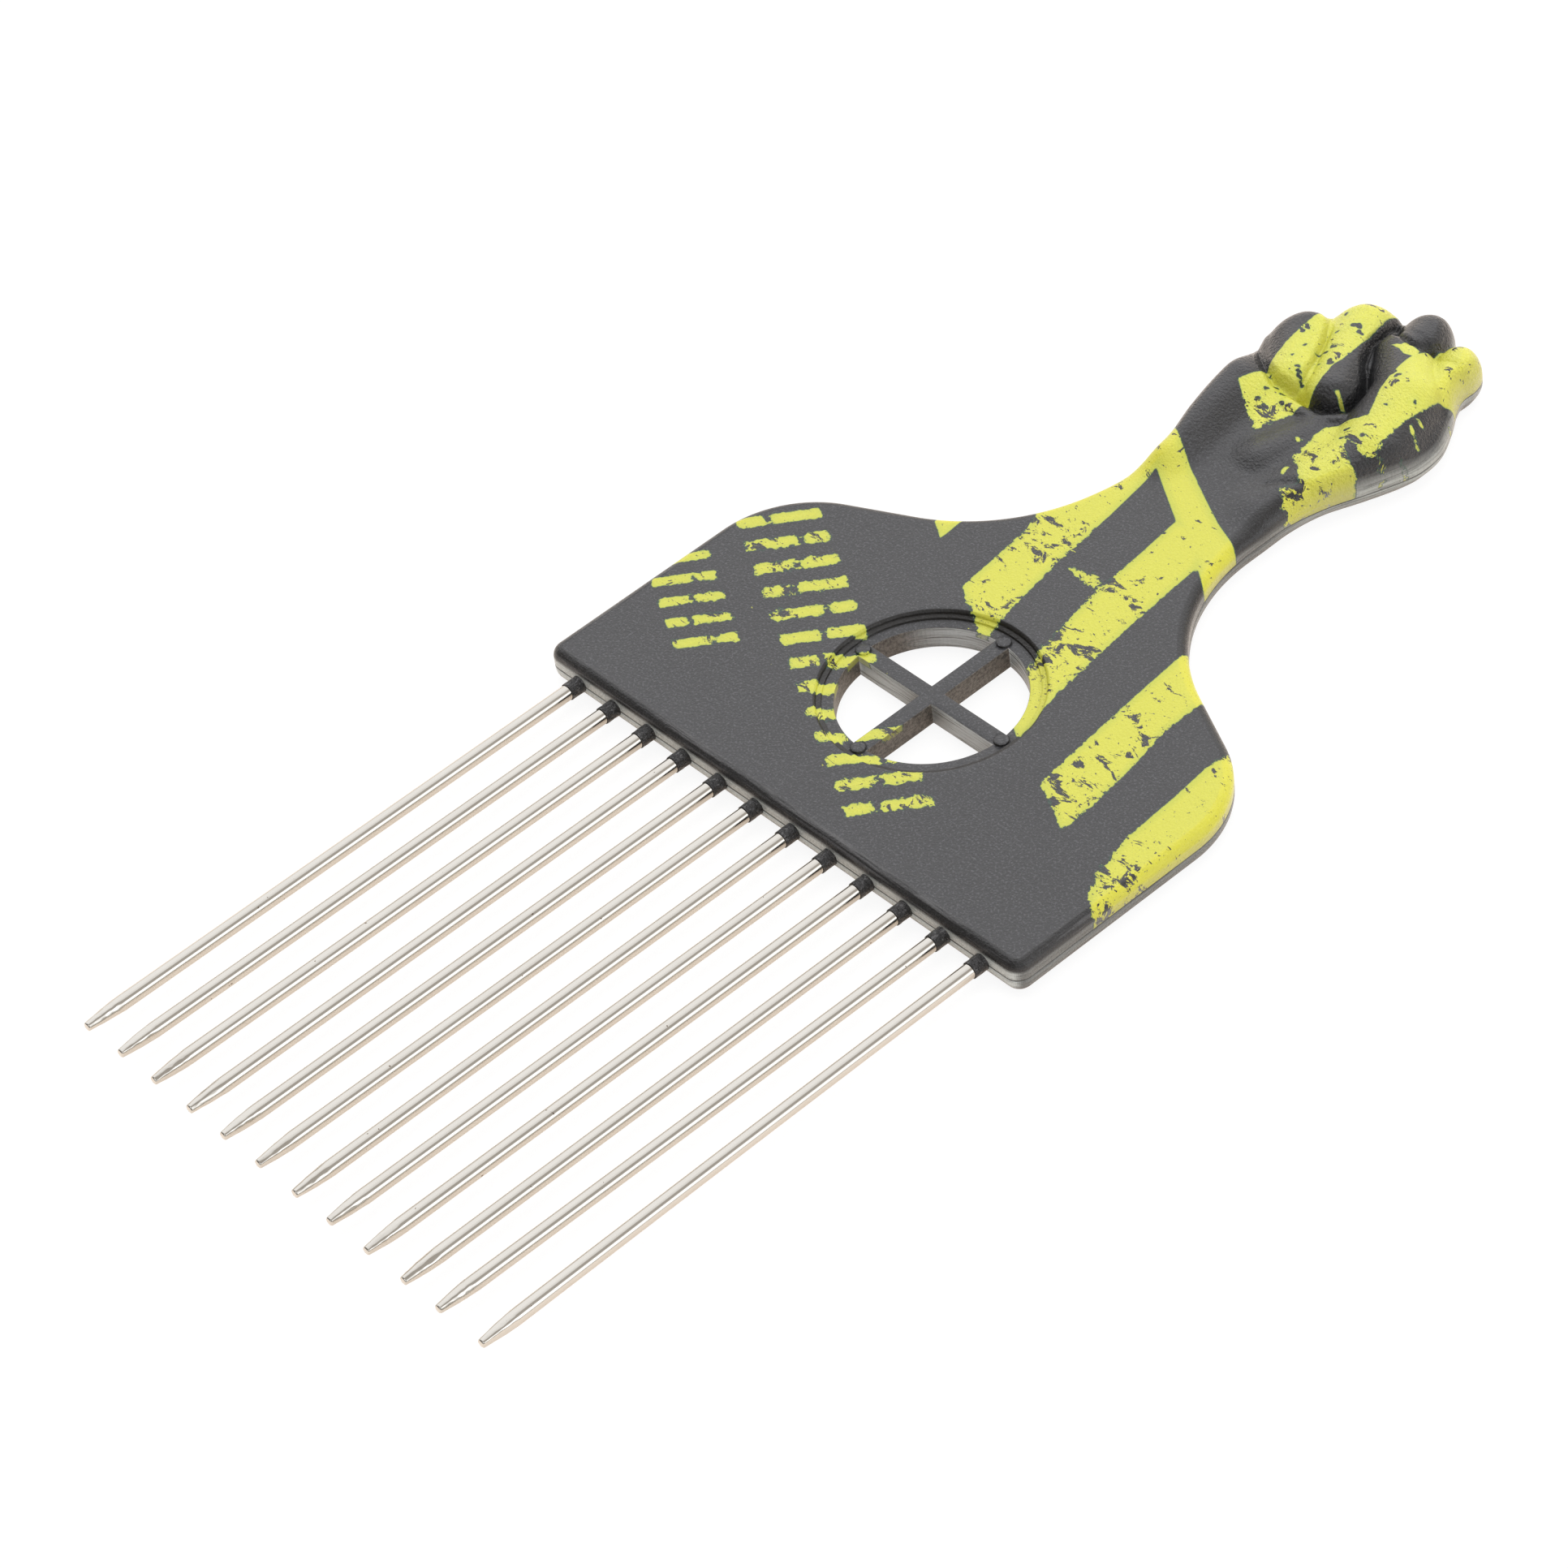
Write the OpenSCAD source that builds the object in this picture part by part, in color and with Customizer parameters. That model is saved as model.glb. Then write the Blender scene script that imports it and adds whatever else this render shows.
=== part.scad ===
// Afro pick: a flat moulded handle that ends in a raised fist, with a row of steel tines moulded into it.
// X runs across the tines, Y from the tine tips to the knuckles, and Z up, with the palm side on top.
// The origin is on the surface that the pick lies on, under the middle of its length.
// Inside the modules, Y starts at the front face of the plate and Z at the parting line of the mould.

/* [Plate] */
// Width of the plate over its straight sides
plate_w = 77.2; // [74:0.2:84]
// Thickness of the plate
plate_t = 4.6; // [4.2:0.1:5.6]
// Length of the straight sides, from the front face to the shoulders
side_l = 27; // [24:0.2:32]
// Radius of the two front corners, seen from above
corner_r = 1.9; // [1.9:0.1:3]
// Radius of the shoulders
shoulder_r = 14; // [11:0.2:17]
// Angle that the outline turns through at the shoulders, from the straight sides to the slope
shoulder_turn = 64; // [55:0.5:72]
// Rounding of the upper edge
top_edge_r = 1.3; // [0.6:0.1:1.6]
// Rounding of the lower edge
back_edge_r = 1.8; // [1:0.1:1.8]

/* [Neck and wrist] */
// Radius of the hollow curve between shoulder and wrist
neck_r = 24; // [18:0.2:30]
// Width of the wrist
wrist_w = 19; // [16:0.2:24]
// Straight length of the wrist, before the hand widens
wrist_l = 2; // [1:0.5:8]

/* [Fist] */
// Length of the fist, from the wrist to the middle knuckle
fist_l = 40.4; // [36:0.2:46]
// Width of the fist over the heel of the thumb
fist_w = 29.6; // [27:0.2:33]
// Height of the thumb over the parting line
thumb_h = 5.8; // [5:0.1:7]
// Height of the palm's hollow over the parting line
palm_h = 2.6; // [2.4:0.1:3.2]
// Rounding of the sides of the fist on the palm side
hand_edge_r = 2.6; // [1.8:0.1:3.2]
// Rounding of the back of the fist at the knuckles
hand_back_r = 2.4; // [1.5:0.1:2.6]
// Rounding of the back of the fist along its two sides
hand_back_side_r = 5; // [2.4:0.1:5]
// Depth of the grooves between the fingers on the back of the fist
back_groove_d = 0.7; // [0.3:0.1:0.9]
// Width of those grooves
back_groove_w = 3; // [2:0.1:4]

/* [Round opening] */
// Distance from the front face to the middle of the opening
opening_y = 24; // [23:0.5:27]
// Diameter of the round recess, on both faces
recess_d = 26; // [24:0.5:28]
// Depth of the recess
recess_h = 0.85; // [0.4:0.05:1]
// Width of the step inside the recess
ledge_w = 0.6; // [0.3:0.1:0.9]
// Depth of that step
ledge_h = 0.55; // [0.2:0.05:0.7]
// Bevel round the mouth of the recess
mouth_bevel = 0.25; // [0.1:0.05:0.4]
// Diameter of the circle that the four windows fill
window_d = 22; // [19:0.5:22.5]
// Width of the cross between the windows
spoke_w = 2.1; // [1.6:0.1:3]
// Diameter of the raised buttons at the ends of the cross
button_d = 2; // [1.4:0.1:2.4]
// Height of the buttons
button_h = 0.2; // [0.1:0.05:0.3]

/* [Tines] */
// Number of tines
tine_count = 12; // [8:1:12]
// Distance from the side of the plate to the middle of the outer tine
side_margin = 5.6; // [4.6:0.1:9]
// Diameter of the tine wire
tine_d = 1.85; // [1.4:0.05:2.1]
// Length of a tine in front of the plate
tine_l = 71.3; // [50:0.1:90]
// Length of the tapered tip
tip_l = 4.8; // [3:0.1:7]
// Diameter of the blunt end
tip_d = 1; // [0.7:0.05:1.2]
// Bevel round the blunt end
tip_bevel = 0.2; // [0.05:0.05:0.3]
// Length of a tine that is hidden in the plate
shank_l = 9; // [7:0.5:9]
// Length of each of the two necks that hold the shank in the plate
keyway_l = 1.4; // [0.8:0.1:2]
// Depth of those necks
keyway_h = 0.25; // [0.1:0.05:0.35]
// Space between a tine and the plastic round it
tine_gap = 0.02; // [0.01:0.01:0.05]

/* [Collars] */
// Length of the collar that the plate forms round each tine
collar_l = 1.9; // [1:0.1:3]
// Wall of the collar
collar_wall = 0.13; // [0.1:0.01:0.3]

/* [Hidden] */
// How far a cut or a hidden end runs past a surface
overrun = 1;
// Sides of a drawn circle
$fn = 72;

half_w = plate_w / 2;
half_t = plate_t / 2;
// The tines share out the width between the two outer ones
tine_spacing = (plate_w - 2 * side_margin) / (tine_count - 1);

/* The plate's outline: a corner arc, a shoulder arc and a neck arc on each side, joined by tangents */

// The slope between shoulder and neck is as long as the widths leave it, which places the wrist
slope_run = half_w - wrist_w / 2 - (shoulder_r + neck_r) * (1 - cos(shoulder_turn));
slope_l = slope_run / sin(shoulder_turn);
neck_l = side_l + (shoulder_r + neck_r) * sin(shoulder_turn) + slope_l * cos(shoulder_turn);
wrist_y = neck_l + wrist_l;
handle_l = wrist_y + fist_l;
total_l = handle_l + tine_l;
// Where the middle of the whole length lies, from the front face
middle_y = (handle_l - tine_l) / 2;

shoulder_c = [half_w - shoulder_r, side_l];
neck_c = [wrist_w / 2 + neck_r, neck_l];
corner_steps = 6;
arc_steps = 11;

function polar(r, a) = r * [cos(a), sin(a)];

// Each station of an outline is [point, direction into the solid]
function arc_out(c, r, a0, a1, n) =
    [for (i = [0 : n]) let (a = a0 + (a1 - a0) * i / n) [c + polar(r, a), -polar(1, a)]];
function arc_in(c, r, a0, a1, n) =
    [for (i = [0 : n]) let (a = a0 + (a1 - a0) * i / n) [c + polar(r, a), polar(1, a)]];
function mirrored(s) = [[-s[0][0], s[0][1]], [-s[1][0], s[1][1]]];

right_side = concat(
    arc_out([half_w - corner_r, corner_r], corner_r, -90, 0, corner_steps),
    arc_out(shoulder_c, shoulder_r, 0, shoulder_turn, arc_steps),
    arc_in(neck_c, neck_r, 180 + shoulder_turn, 180, arc_steps),
    [[[wrist_w / 2, wrist_y], [-1, 0]]]
);
side_n = len(right_side);

/* The fist's outline: two sides from the wrist, then the scallops of thumb, knuckles and little finger */

// Share of the fist's length, then of the widening on the thumb's side and on the little finger's
hand_side_shares = [
    [0, 0, 0], [0.11, 0.03, 0.1], [0.235, 0.26, 0.4],
    [0.36, 0.64, 0.64], [0.463, 0.92, 0.77], [0.527, 1, 0.8]
];
// Shares of half the fist's width and of its length, from the thumb side to the little finger
knuckle_shares = [
    [0.973, 0.611], [0.858, 0.696], [0.736, 0.765], [0.67, 0.819], [0.666, 0.873], [0.615, 0.922],
    [0.486, 0.95], [0.358, 0.936], [0.291, 0.912], [0.264, 0.944], [0.176, 0.98], [0.054, 1],
    [-0.081, 0.988], [-0.176, 0.962], [-0.216, 0.935], [-0.304, 0.943], [-0.432, 0.943], [-0.601, 0.911],
    [-0.705, 0.854], [-0.735, 0.795], [-0.82, 0.785], [-0.926, 0.755], [-0.995, 0.698], [-1, 0.636],
    [-0.96, 0.58]
];
// The hand's outline is cut in three: up the thumb's side, over the knuckles, and down the other side
thumb_side_spans = 11;
little_side_spans = 9;
// Stations up each side and across the knuckles
up_n = 44;
across_n = 46;
// Place in the hand that the rounding of its edge leans toward, as a share of its length
hand_centre_share = 0.6;

widening = (fist_w - wrist_w) / 2;
function side_knot(s, dir) = [dir * (wrist_w / 2 + s[dir > 0 ? 1 : 2] * widening), wrist_y + s[0] * fist_l];
function knuckle_knot(s) = [s[0] * fist_w / 2, wrist_y + s[1] * fist_l];
side_knots = len(hand_side_shares);
hand_knots = concat(
    [for (s = hand_side_shares) side_knot(s, 1)],
    [for (s = knuckle_shares) knuckle_knot(s)],
    [for (i = [side_knots - 1 : -1 : 0]) side_knot(hand_side_shares[i], -1)]
);
spans = len(hand_knots) - 1;

// Catmull-Rom curve through the knots, straight out of the wrist at both ends
function knot(i) =
    i < 0 ? [hand_knots[0][0], 2 * hand_knots[0][1] - hand_knots[1][1]]
    : i > spans ? [hand_knots[spans][0], 2 * hand_knots[spans][1] - hand_knots[spans - 1][1]]
    : hand_knots[i];
function curve(p, q, r, s, t) =
    0.5 * (2 * q + (r - p) * t + (2 * p - 5 * q + 4 * r - s) * t * t + (3 * q - p - 3 * r + s) * t * t * t);
function hand_at(t) =
    let (i = min(floor(t), spans - 1))
    curve(knot(i - 1), knot(i), knot(i + 1), knot(i + 2), t - i);
// Stations are counted from the right wrist, 0, to the left wrist, hand_end
hand_end = 2 * up_n + across_n;
function span_at(i) =
    i <= up_n ? i * thumb_side_spans / up_n
    : i < up_n + across_n
    ? thumb_side_spans + (i - up_n) * (spans - thumb_side_spans - little_side_spans) / across_n
    : spans - (hand_end - i) * little_side_spans / up_n;

function toward(p, q) = (q - p) / norm(q - p);
function lean(i) = [0, wrist_y + hand_centre_share * fist_l * min(i, hand_end - i, up_n) / up_n];
hand_side = [for (i = [1 : hand_end - 1]) let (p = hand_at(span_at(i))) [p, toward(p, lean(i))]];

outline = concat(
    right_side,
    hand_side,
    [for (i = [side_n - 1 : -1 : 0]) mirrored(right_side[i])]
);
outline_n = len(outline);

/* The relief of the fist: lobes for the heel of the hand, the thumb, the fingers and the knuckles */

// Each lobe runs from one place to another: shares of half the width and of the length,
// then its radius at both ends as shares of the fist's width, and its height as shares of the thumb's
mound_shares = [
    // heel of the hand
    [-0.568, 0.066, -0.757, 0.408, 0.189, 0.182, 0.793, 0.741],
    // heel of the thumb
    [0.486, 0.039, 0.649, 0.459, 0.169, 0.209, 0.172, 0.862]
];
finger_shares = [
    // thumb, from its root to its joint
    [0.649, 0.459, 0.473, 0.645, 0.209, 0.189, 0.862, 0.983],
    // thumb, from its joint to its tip
    [0.459, 0.67, 0.068, 0.808, 0.182, 0.145, 0.991, 0.845],
    // little finger
    [-0.878, 0.776, -0.473, 0.541, 0.182, 0.149, 0.69, 0.741],
    // ring finger
    [-0.554, 0.893, -0.068, 0.566, 0.149, 0.142, 0.655, 0.793],
    // knuckle of the middle finger
    [0.041, 0.992, 0.088, 0.883, 0.149, 0.142, 0.776, 0.793],
    // knuckle of the index finger
    [0.514, 0.93, 0.622, 0.781, 0.155, 0.176, 0.741, 0.759],
    // fold of the palm below the ring finger's tip, and up to the thumb
    [-0.155, 0.452, 0.101, 0.452, 0.064, 0.064, 0.517, 0.534],
    [0.101, 0.452, 0.311, 0.529, 0.064, 0.064, 0.534, 0.552]
];
// Softness of the mounds' feet and of the creases, and the length over which the wrist turns into the hand
mound_soft = 1.6;
crease_soft = 0.5;
blend_l = 11;

function lerp(a, b, t) = a + (b - a) * t;
function clamp01(t) = min(1, max(0, t));
function smooth(t) = let (c = clamp01(t)) c * c * (3 - 2 * c);
function soft_max(a, b, k) = max(a, b) + pow(max(k - abs(a - b), 0), 2) / (4 * k);
function place_of(x_share, y_share) = [x_share * fist_w / 2, wrist_y + y_share * fist_l];
function lobe(p, s) =
    let (
        a = place_of(s[0], s[1]),
        b = place_of(s[2], s[3]),
        t = clamp01((p - a) * (b - a) / ((b - a) * (b - a))),
        d = norm(p - lerp(a, b, t)) / (fist_w * lerp(s[4], s[5], t))
    )
    d >= 1 ? 0 : thumb_h * lerp(s[6], s[7], t) * sqrt(1 - d * d);
function mounds(p, i) =
    i < 0 ? palm(p[1])
    : soft_max(mounds(p, i - 1), lobe(p, mound_shares[i]), mound_soft);
function fingers(p, i) =
    i < 0 ? mounds(p, len(mound_shares) - 1)
    : soft_max(fingers(p, i - 1), lobe(p, finger_shares[i]), crease_soft);
function hand_part(y) = smooth((y - wrist_y) / blend_l);
function palm(y) = lerp(half_t, palm_h, hand_part(y));
function relief(p) =
    let (t = smooth((p[1] - wrist_y) / hand_edge_r))
    t <= 0 ? half_t : lerp(half_t, fingers(p, len(finger_shares) - 1), t);

/* The skin of the handle: rings that step in from the parting line, over the edge and on to the flat */

// Rings over the edge, on the palm side and on the back
palm_edge_rings = 6;
back_edge_rings = 5;
// Share of the height that stands upright at the parting line before the rounding begins
hand_wall_share = 0.22;
hand_back_wall_share = 0.06;
// Shares of the fist's length at which the wider rounding of the back begins, is full, fades and has gone
side_round_shares = [0, 0.223, 0.67, 0.794];

function edge_rings(up) = up ? palm_edge_rings : back_edge_rings;
function fist_step(y, i) =
    let (a = side_round_shares[i], b = side_round_shares[i + 1])
    smooth((y - wrist_y - a * fist_l) / ((b - a) * fist_l));
function back_r(y) = lerp(hand_back_r, hand_back_side_r, fist_step(y, 0) * (1 - fist_step(y, 2)));
function rounding(r, r_hand, y) = lerp(r, r_hand, hand_part(y));
function wall_share(r, hand_share, y) = lerp(1 - r / half_t, hand_share, hand_part(y));
// Point k of the edge at a station: 0 is on the parting line, 1 is the foot of the rounding
function edge_point(s, k, up) =
    let (
        y = s[0][1],
        plate_r = up ? top_edge_r : back_edge_r,
        r = rounding(plate_r, up ? hand_edge_r : back_r(y), y),
        w = wall_share(plate_r, up ? hand_wall_share : hand_back_wall_share, y),
        a = 90 * (k - 1) / (edge_rings(up) - 1),
        p = s[0] + s[1] * r * (1 - cos(a)),
        h = up ? relief(p) : -half_t
    )
    k == 0 ? [s[0][0], s[0][1], 0] : [p[0], p[1], h * (w + (1 - w) * sin(a))];
function edge_points(up) = [for (s = outline) for (k = [1 : edge_rings(up)]) edge_point(s, k, up)];

// Inside the rounding an apron evens out the scallops, and a net of four sides fills the palm
apron_n = 3;
fair_n = 5;
function hand_station(i) = side_n - 1 + i;
foot_line = [
    for (i = [0 : hand_end])
        let (p = edge_point(outline[hand_station(i)], palm_edge_rings, true))
        [p[0], p[1]]
];
function mean(v) = [for (p = v) 1] * v / len(v);
loop_line = [
    for (i = [0 : hand_end])
        let (n = min(fair_n, i, hand_end - i))
        mean([for (j = [i - n : i + n]) foot_line[j]]) + hand_edge_r * outline[hand_station(i)][1]
];
function net_place(a, b) =
    let (
        u = a / across_n,
        v = b / up_n,
        wrist = lerp(loop_line[0], loop_line[hand_end], u),
        corners = lerp(loop_line[up_n], loop_line[up_n + across_n], u)
    )
    lerp(loop_line[b], loop_line[hand_end - b], u) + v * (loop_line[up_n + a] - corners);
function on_skin(p) = [p[0], p[1], relief(p)];
apron_points = [
    for (i = [0 : hand_end]) for (q = [1 : apron_n]) on_skin(lerp(foot_line[i], loop_line[i], q / apron_n))
];
net_points = [for (b = [0 : up_n - 1]) for (a = [1 : across_n - 1]) on_skin(net_place(a, b))];

// Points: the parting line, the edge over the palm, the edge over the back, apron, net, middle of the back
back_start = outline_n * (1 + palm_edge_rings);
apron_start = back_start + outline_n * back_edge_rings;
net_start = apron_start + len(apron_points);
back_middle = net_start + len(net_points);
all_points = concat(
    [for (s = outline) [s[0][0], s[0][1], 0]],
    edge_points(true), edge_points(false), apron_points, net_points,
    [[0, wrist_y + hand_centre_share * fist_l / 2, -half_t]]
);

function edge_i(up, i, k) =
    k == 0 ? i % outline_n : (up ? outline_n : back_start) + (i % outline_n) * edge_rings(up) + k - 1;
function rim_i(up, i) = edge_i(up, i, edge_rings(up));
function apron_i(i, q) = q == 0 ? rim_i(true, hand_station(i)) : apron_start + i * apron_n + q - 1;
function net_i(a, b) =
    a == 0 ? apron_i(b, apron_n)
    : a == across_n ? apron_i(hand_end - b, apron_n)
    : b == up_n ? apron_i(up_n + a, apron_n)
    : net_start + b * (across_n - 1) + a - 1;

// A patch of four points is split along the diagonal that lies closer to the skin at its middle
function patch(q) =
    let (
        p = [for (i = q) all_points[i]],
        m = (p[0] + p[1] + p[2] + p[3]) / 4,
        h = relief([m[0], m[1]])
    )
    abs(p[0][2] + p[2][2] - 2 * h) < abs(p[1][2] + p[3][2] - 2 * h)
    ? [[q[0], q[1], q[2]], [q[0], q[2], q[3]]] : [[q[0], q[1], q[3]], [q[1], q[2], q[3]]];
function net_patch(a, b) = patch([net_i(a, b), net_i(a + 1, b), net_i(a + 1, b + 1), net_i(a, b + 1)]);
function apron_patch(i, q) =
    patch([apron_i(i, q + 1), apron_i(i, q), apron_i(i + 1, q), apron_i(i + 1, q + 1)]);
function edge_patch(up, i, k) =
    let (
        a = edge_i(up, i, k),
        b = edge_i(up, i + 1, k),
        c = edge_i(up, i + 1, k + 1),
        d = edge_i(up, i, k + 1)
    )
    [[a, d, c], [a, c, b]];
// The points across the wrist, from the left rim to the right one
wrist_row = concat(
    [for (q = [0 : apron_n]) apron_i(hand_end, q)],
    [for (a = [across_n - 1 : -1 : 1]) net_i(a, 0)],
    [for (q = [apron_n : -1 : 0]) apron_i(0, q)]
);
// The flat between two stations of one side of the plate and the same two of the other side
function ladder(up, i) =
    let (l = outline_n - 1 - i)
    concat(
        [rim_i(up, l)],
        up && i == side_n - 2 ? wrist_row : [rim_i(up, l - 1), rim_i(up, i + 1)],
        [rim_i(up, i)]
    );
function edge_faces(up) = concat(
    [for (i = [0 : outline_n - 1]) for (k = [0 : edge_rings(up) - 1]) each edge_patch(up, i, k)],
    [for (i = [0 : side_n - 2]) ladder(up, i)]
);
palm_faces = concat(
    [for (i = [0 : hand_end - 1]) for (q = [0 : apron_n - 1]) each apron_patch(i, q)],
    [for (b = [0 : up_n - 1]) for (a = [0 : across_n - 1]) each net_patch(a, b)]
);
back_faces = [
    for (i = [0 : hand_end])
        [rim_i(false, hand_station(i)), back_middle, rim_i(false, hand_station((i + 1) % (hand_end + 1)))]
];
function turned(faces) = [for (f = faces) [for (i = [len(f) - 1 : -1 : 0]) f[i]]];

module blank() {
    polyhedron(
        points = all_points,
        faces = concat(edge_faces(true), palm_faces, turned(concat(edge_faces(false), back_faces))),
        convexity = 6
    );
}

/* Parts */

// Moves a piece from the front face and the parting line to the part's own origin
module in_place() translate([0, -middle_y, half_t]) children();

function tine_x(i) = (i - (tine_count - 1) / 2) * tine_spacing;

// Where the two necks lie, as shares of the shank's length, and how much of the thickness is left
// halfway down the taper
keyway_shares = [0.25, 0.625];
swell_share = 0.625;

// A tine's outline, from its hidden end to its tip, with room of gap all round
module tine_profile(gap) {
    r = tine_d / 2 + gap;
    neck = r - keyway_h;
    tip = tip_d / 2 + gap;
    end = shank_l + tine_l;
    key_1 = shank_l * keyway_shares[0] - keyway_l / 2;
    key_2 = shank_l * keyway_shares[1] - keyway_l / 2;
    polygon([
        [0, -gap], [r - keyway_h / 2, -gap], [r, keyway_h / 2],
        [r, key_1 + gap], [neck, key_1 + keyway_h + gap],
        [neck, key_1 + keyway_l - gap], [r, key_1 + keyway_l + keyway_h - gap],
        [r, key_2 + gap], [neck, key_2 + keyway_h + gap],
        [neck, key_2 + keyway_l - gap], [r, key_2 + keyway_l + keyway_h - gap],
        [r, end - tip_l], [lerp(tip, r, swell_share), end - tip_l / 2],
        [tip, end - tip_bevel], [tip - tip_bevel, end], [0, end]
    ]);
}

module tine_form(gap) translate([0, shank_l, 0]) rotate([90, 0, 0]) rotate_extrude() tine_profile(gap);

// The sleeve that the moulding sends out round a tine, open for it all the way
module collar() {
    r = tine_d / 2 + tine_gap + collar_wall;
    difference() {
        translate([0, back_edge_r, 0]) rotate([90, 0, 0]) cylinder(r = r, h = back_edge_r + collar_l);
        tine_form(tine_gap);
    }
}

// The recess on one face, with its bevelled mouth and its step
module recess() {
    floor_z = half_t - recess_h;
    translate([0, 0, floor_z]) cylinder(d = recess_d - 2 * ledge_w, h = recess_h + overrun);
    translate([0, 0, half_t - ledge_h]) cylinder(d = recess_d, h = ledge_h + overrun);
    translate([0, 0, half_t - mouth_bevel])
        cylinder(d1 = recess_d, d2 = recess_d + 4 * mouth_bevel, h = 2 * mouth_bevel);
}

// The four windows: a disc with the cross left out
module windows() {
    difference() {
        cylinder(d = window_d, h = plate_t + 2 * overrun, center = true);
        cube([spoke_w, window_d + overrun, plate_t + 3 * overrun], center = true);
        cube([window_d + overrun, spoke_w, plate_t + 3 * overrun], center = true);
    }
}

module buttons() {
    for (a = [0 : 90 : 270])
        rotate(a) translate([(window_d + spoke_w / 4) / 2, 0, 0])
            cylinder(d = button_d, h = half_t - recess_h + button_h);
}

// Grooves between the fingers on the back, from a notch between knuckles to where they run out
back_groove_shares = [
    [-0.735, 0.795, -0.42, 0.5], [-0.216, 0.935, -0.13, 0.52], [0.291, 0.912, 0.2, 0.54]
];
back_groove_r = (pow(back_groove_w / 2, 2) + pow(back_groove_d, 2)) / (2 * back_groove_d);
module back_grooves() {
    for (s = back_groove_shares) {
        a = place_of(s[0], s[1]);
        b = place_of(s[2], s[3]);
        span = norm(b - a);
        translate([a[0], a[1], back_groove_d - half_t - back_groove_r])
            rotate([0, 90 + atan(back_groove_d / span), atan2(b[1] - a[1], b[0] - a[0])])
                translate([0, 0, -hand_edge_r]) cylinder(r = back_groove_r, h = span + 2 * hand_edge_r);
    }
}

// The whole moulding: plate, neck, fist, cross and collars in one piece
module handle() {
    color("#2b2c31") in_place() {
        difference() {
            blank();
            translate([0, opening_y, 0]) {
                recess();
                mirror([0, 0, 1]) recess();
                windows();
            }
            back_grooves();
            for (i = [0 : tine_count - 1]) translate([tine_x(i), 0, 0]) tine_form(tine_gap);
        }
        translate([0, opening_y, 0]) buttons();
        for (i = [0 : tine_count - 1]) translate([tine_x(i), 0, 0]) collar();
    }
}

module tine(i) {
    color("#c9c6c0") in_place() translate([tine_x(i), 0, 0]) tine_form(0);
}

function tine_name(i) = str("tine_", i < 9 ? "0" : "", i + 1);

handle();
for (i = [0 : tine_count - 1]) tine(i);
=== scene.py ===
import math
import bpy
import numpy as np
from mathutils import Matrix, Vector
from mathutils.geometry import delaunay_2d_cdt

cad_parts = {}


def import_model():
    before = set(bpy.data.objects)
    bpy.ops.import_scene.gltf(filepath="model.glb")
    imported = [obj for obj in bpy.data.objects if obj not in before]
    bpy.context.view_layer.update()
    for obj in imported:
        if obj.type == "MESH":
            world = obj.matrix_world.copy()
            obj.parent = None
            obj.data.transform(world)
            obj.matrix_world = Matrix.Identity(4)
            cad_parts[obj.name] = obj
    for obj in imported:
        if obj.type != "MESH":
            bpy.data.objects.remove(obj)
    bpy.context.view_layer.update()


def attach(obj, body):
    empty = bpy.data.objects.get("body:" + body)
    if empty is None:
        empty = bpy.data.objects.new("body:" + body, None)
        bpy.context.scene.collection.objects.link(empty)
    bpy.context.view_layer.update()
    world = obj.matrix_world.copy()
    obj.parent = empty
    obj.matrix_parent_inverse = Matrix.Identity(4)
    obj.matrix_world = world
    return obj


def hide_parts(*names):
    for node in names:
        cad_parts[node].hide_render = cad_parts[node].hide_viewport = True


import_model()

# Lengths are in mm: X across, Y from the front face toward the fist, Z up from the parting line.
# to_row() takes them to the frame, in metres. Sizes that the part's source has too are the same here, but for
# the buttons' width and the collars' radius, which are a little smaller.
PLATE_W, PLATE_T, SIDE_L, CORNER_R, SHOULDER_R, SHOULDER_TURN = 77.2, 4.6, 27.0, 1.9, 14.0, 64.0
TOP_EDGE_R, BACK_EDGE_R, NECK_R, WRIST_W, WRIST_L = 1.3, 1.8, 24.0, 19.0, 2.0
FIST_L, FIST_W, PALM_H, HAND_EDGE_R, HAND_BACK_R, HAND_BACK_SIDE_R = 40.4, 29.6, 2.6, 2.6, 2.4, 5.0
BACK_GROOVE_D, BACK_GROOVE_W, BLEND_L = 0.7, 3.0, 11.0
OPENING_Y, RECESS_D, RECESS_H, LEDGE_W, LEDGE_H, MOUTH = 24.0, 26.0, 0.85, 0.6, 0.55, 0.25
WINDOW_D, SPOKE_W, BUTTON_D, BUTTON_H = 22.0, 2.1, 1.86, 0.2
TINES, SPACING, TINE_D, TINE_L, TIP_L, TIP_D, SHANK_L = 12, 6.0, 1.85, 71.3, 4.8, 1.0, 9.0
COLLAR_L, COLLAR_R = 1.9, 1.035

HALF_W, HALF_T = PLATE_W / 2, PLATE_T / 2
TURN = math.radians(SHOULDER_TURN)
SLOPE_L = (HALF_W - WRIST_W / 2 - (SHOULDER_R + NECK_R) * (1 - math.cos(TURN))) / math.sin(TURN)
NECK_L = SIDE_L + (SHOULDER_R + NECK_R) * math.sin(TURN) + SLOPE_L * math.cos(TURN)
WRIST_Y = NECK_L + WRIST_L
HANDLE_L = WRIST_Y + FIST_L
MIDDLE_Y = (HANDLE_L - TINE_L) / 2

# Material slots of the moulding: its plain skin, the windows' cut walls, the collars and the deep places, whose
# darker black is painted shade
SKIN, CUT, HAMMERED, DEEP_SHADE = range(4)


def to_row(p):
    p = np.asarray(p, float)
    return (p + np.array([0, -MIDDLE_Y, HALF_T])) / 1000


# Small helpers

def smooth(t):
    t = np.clip(t, 0, 1)
    return t * t * (3 - 2 * t)


def smax(a, b, k):
    """The greater of two heights, with the corner between them filled over a depth of k."""
    return np.maximum(a, b) + np.maximum(k - np.abs(a - b), 0) ** 2 / (4 * k)


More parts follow.
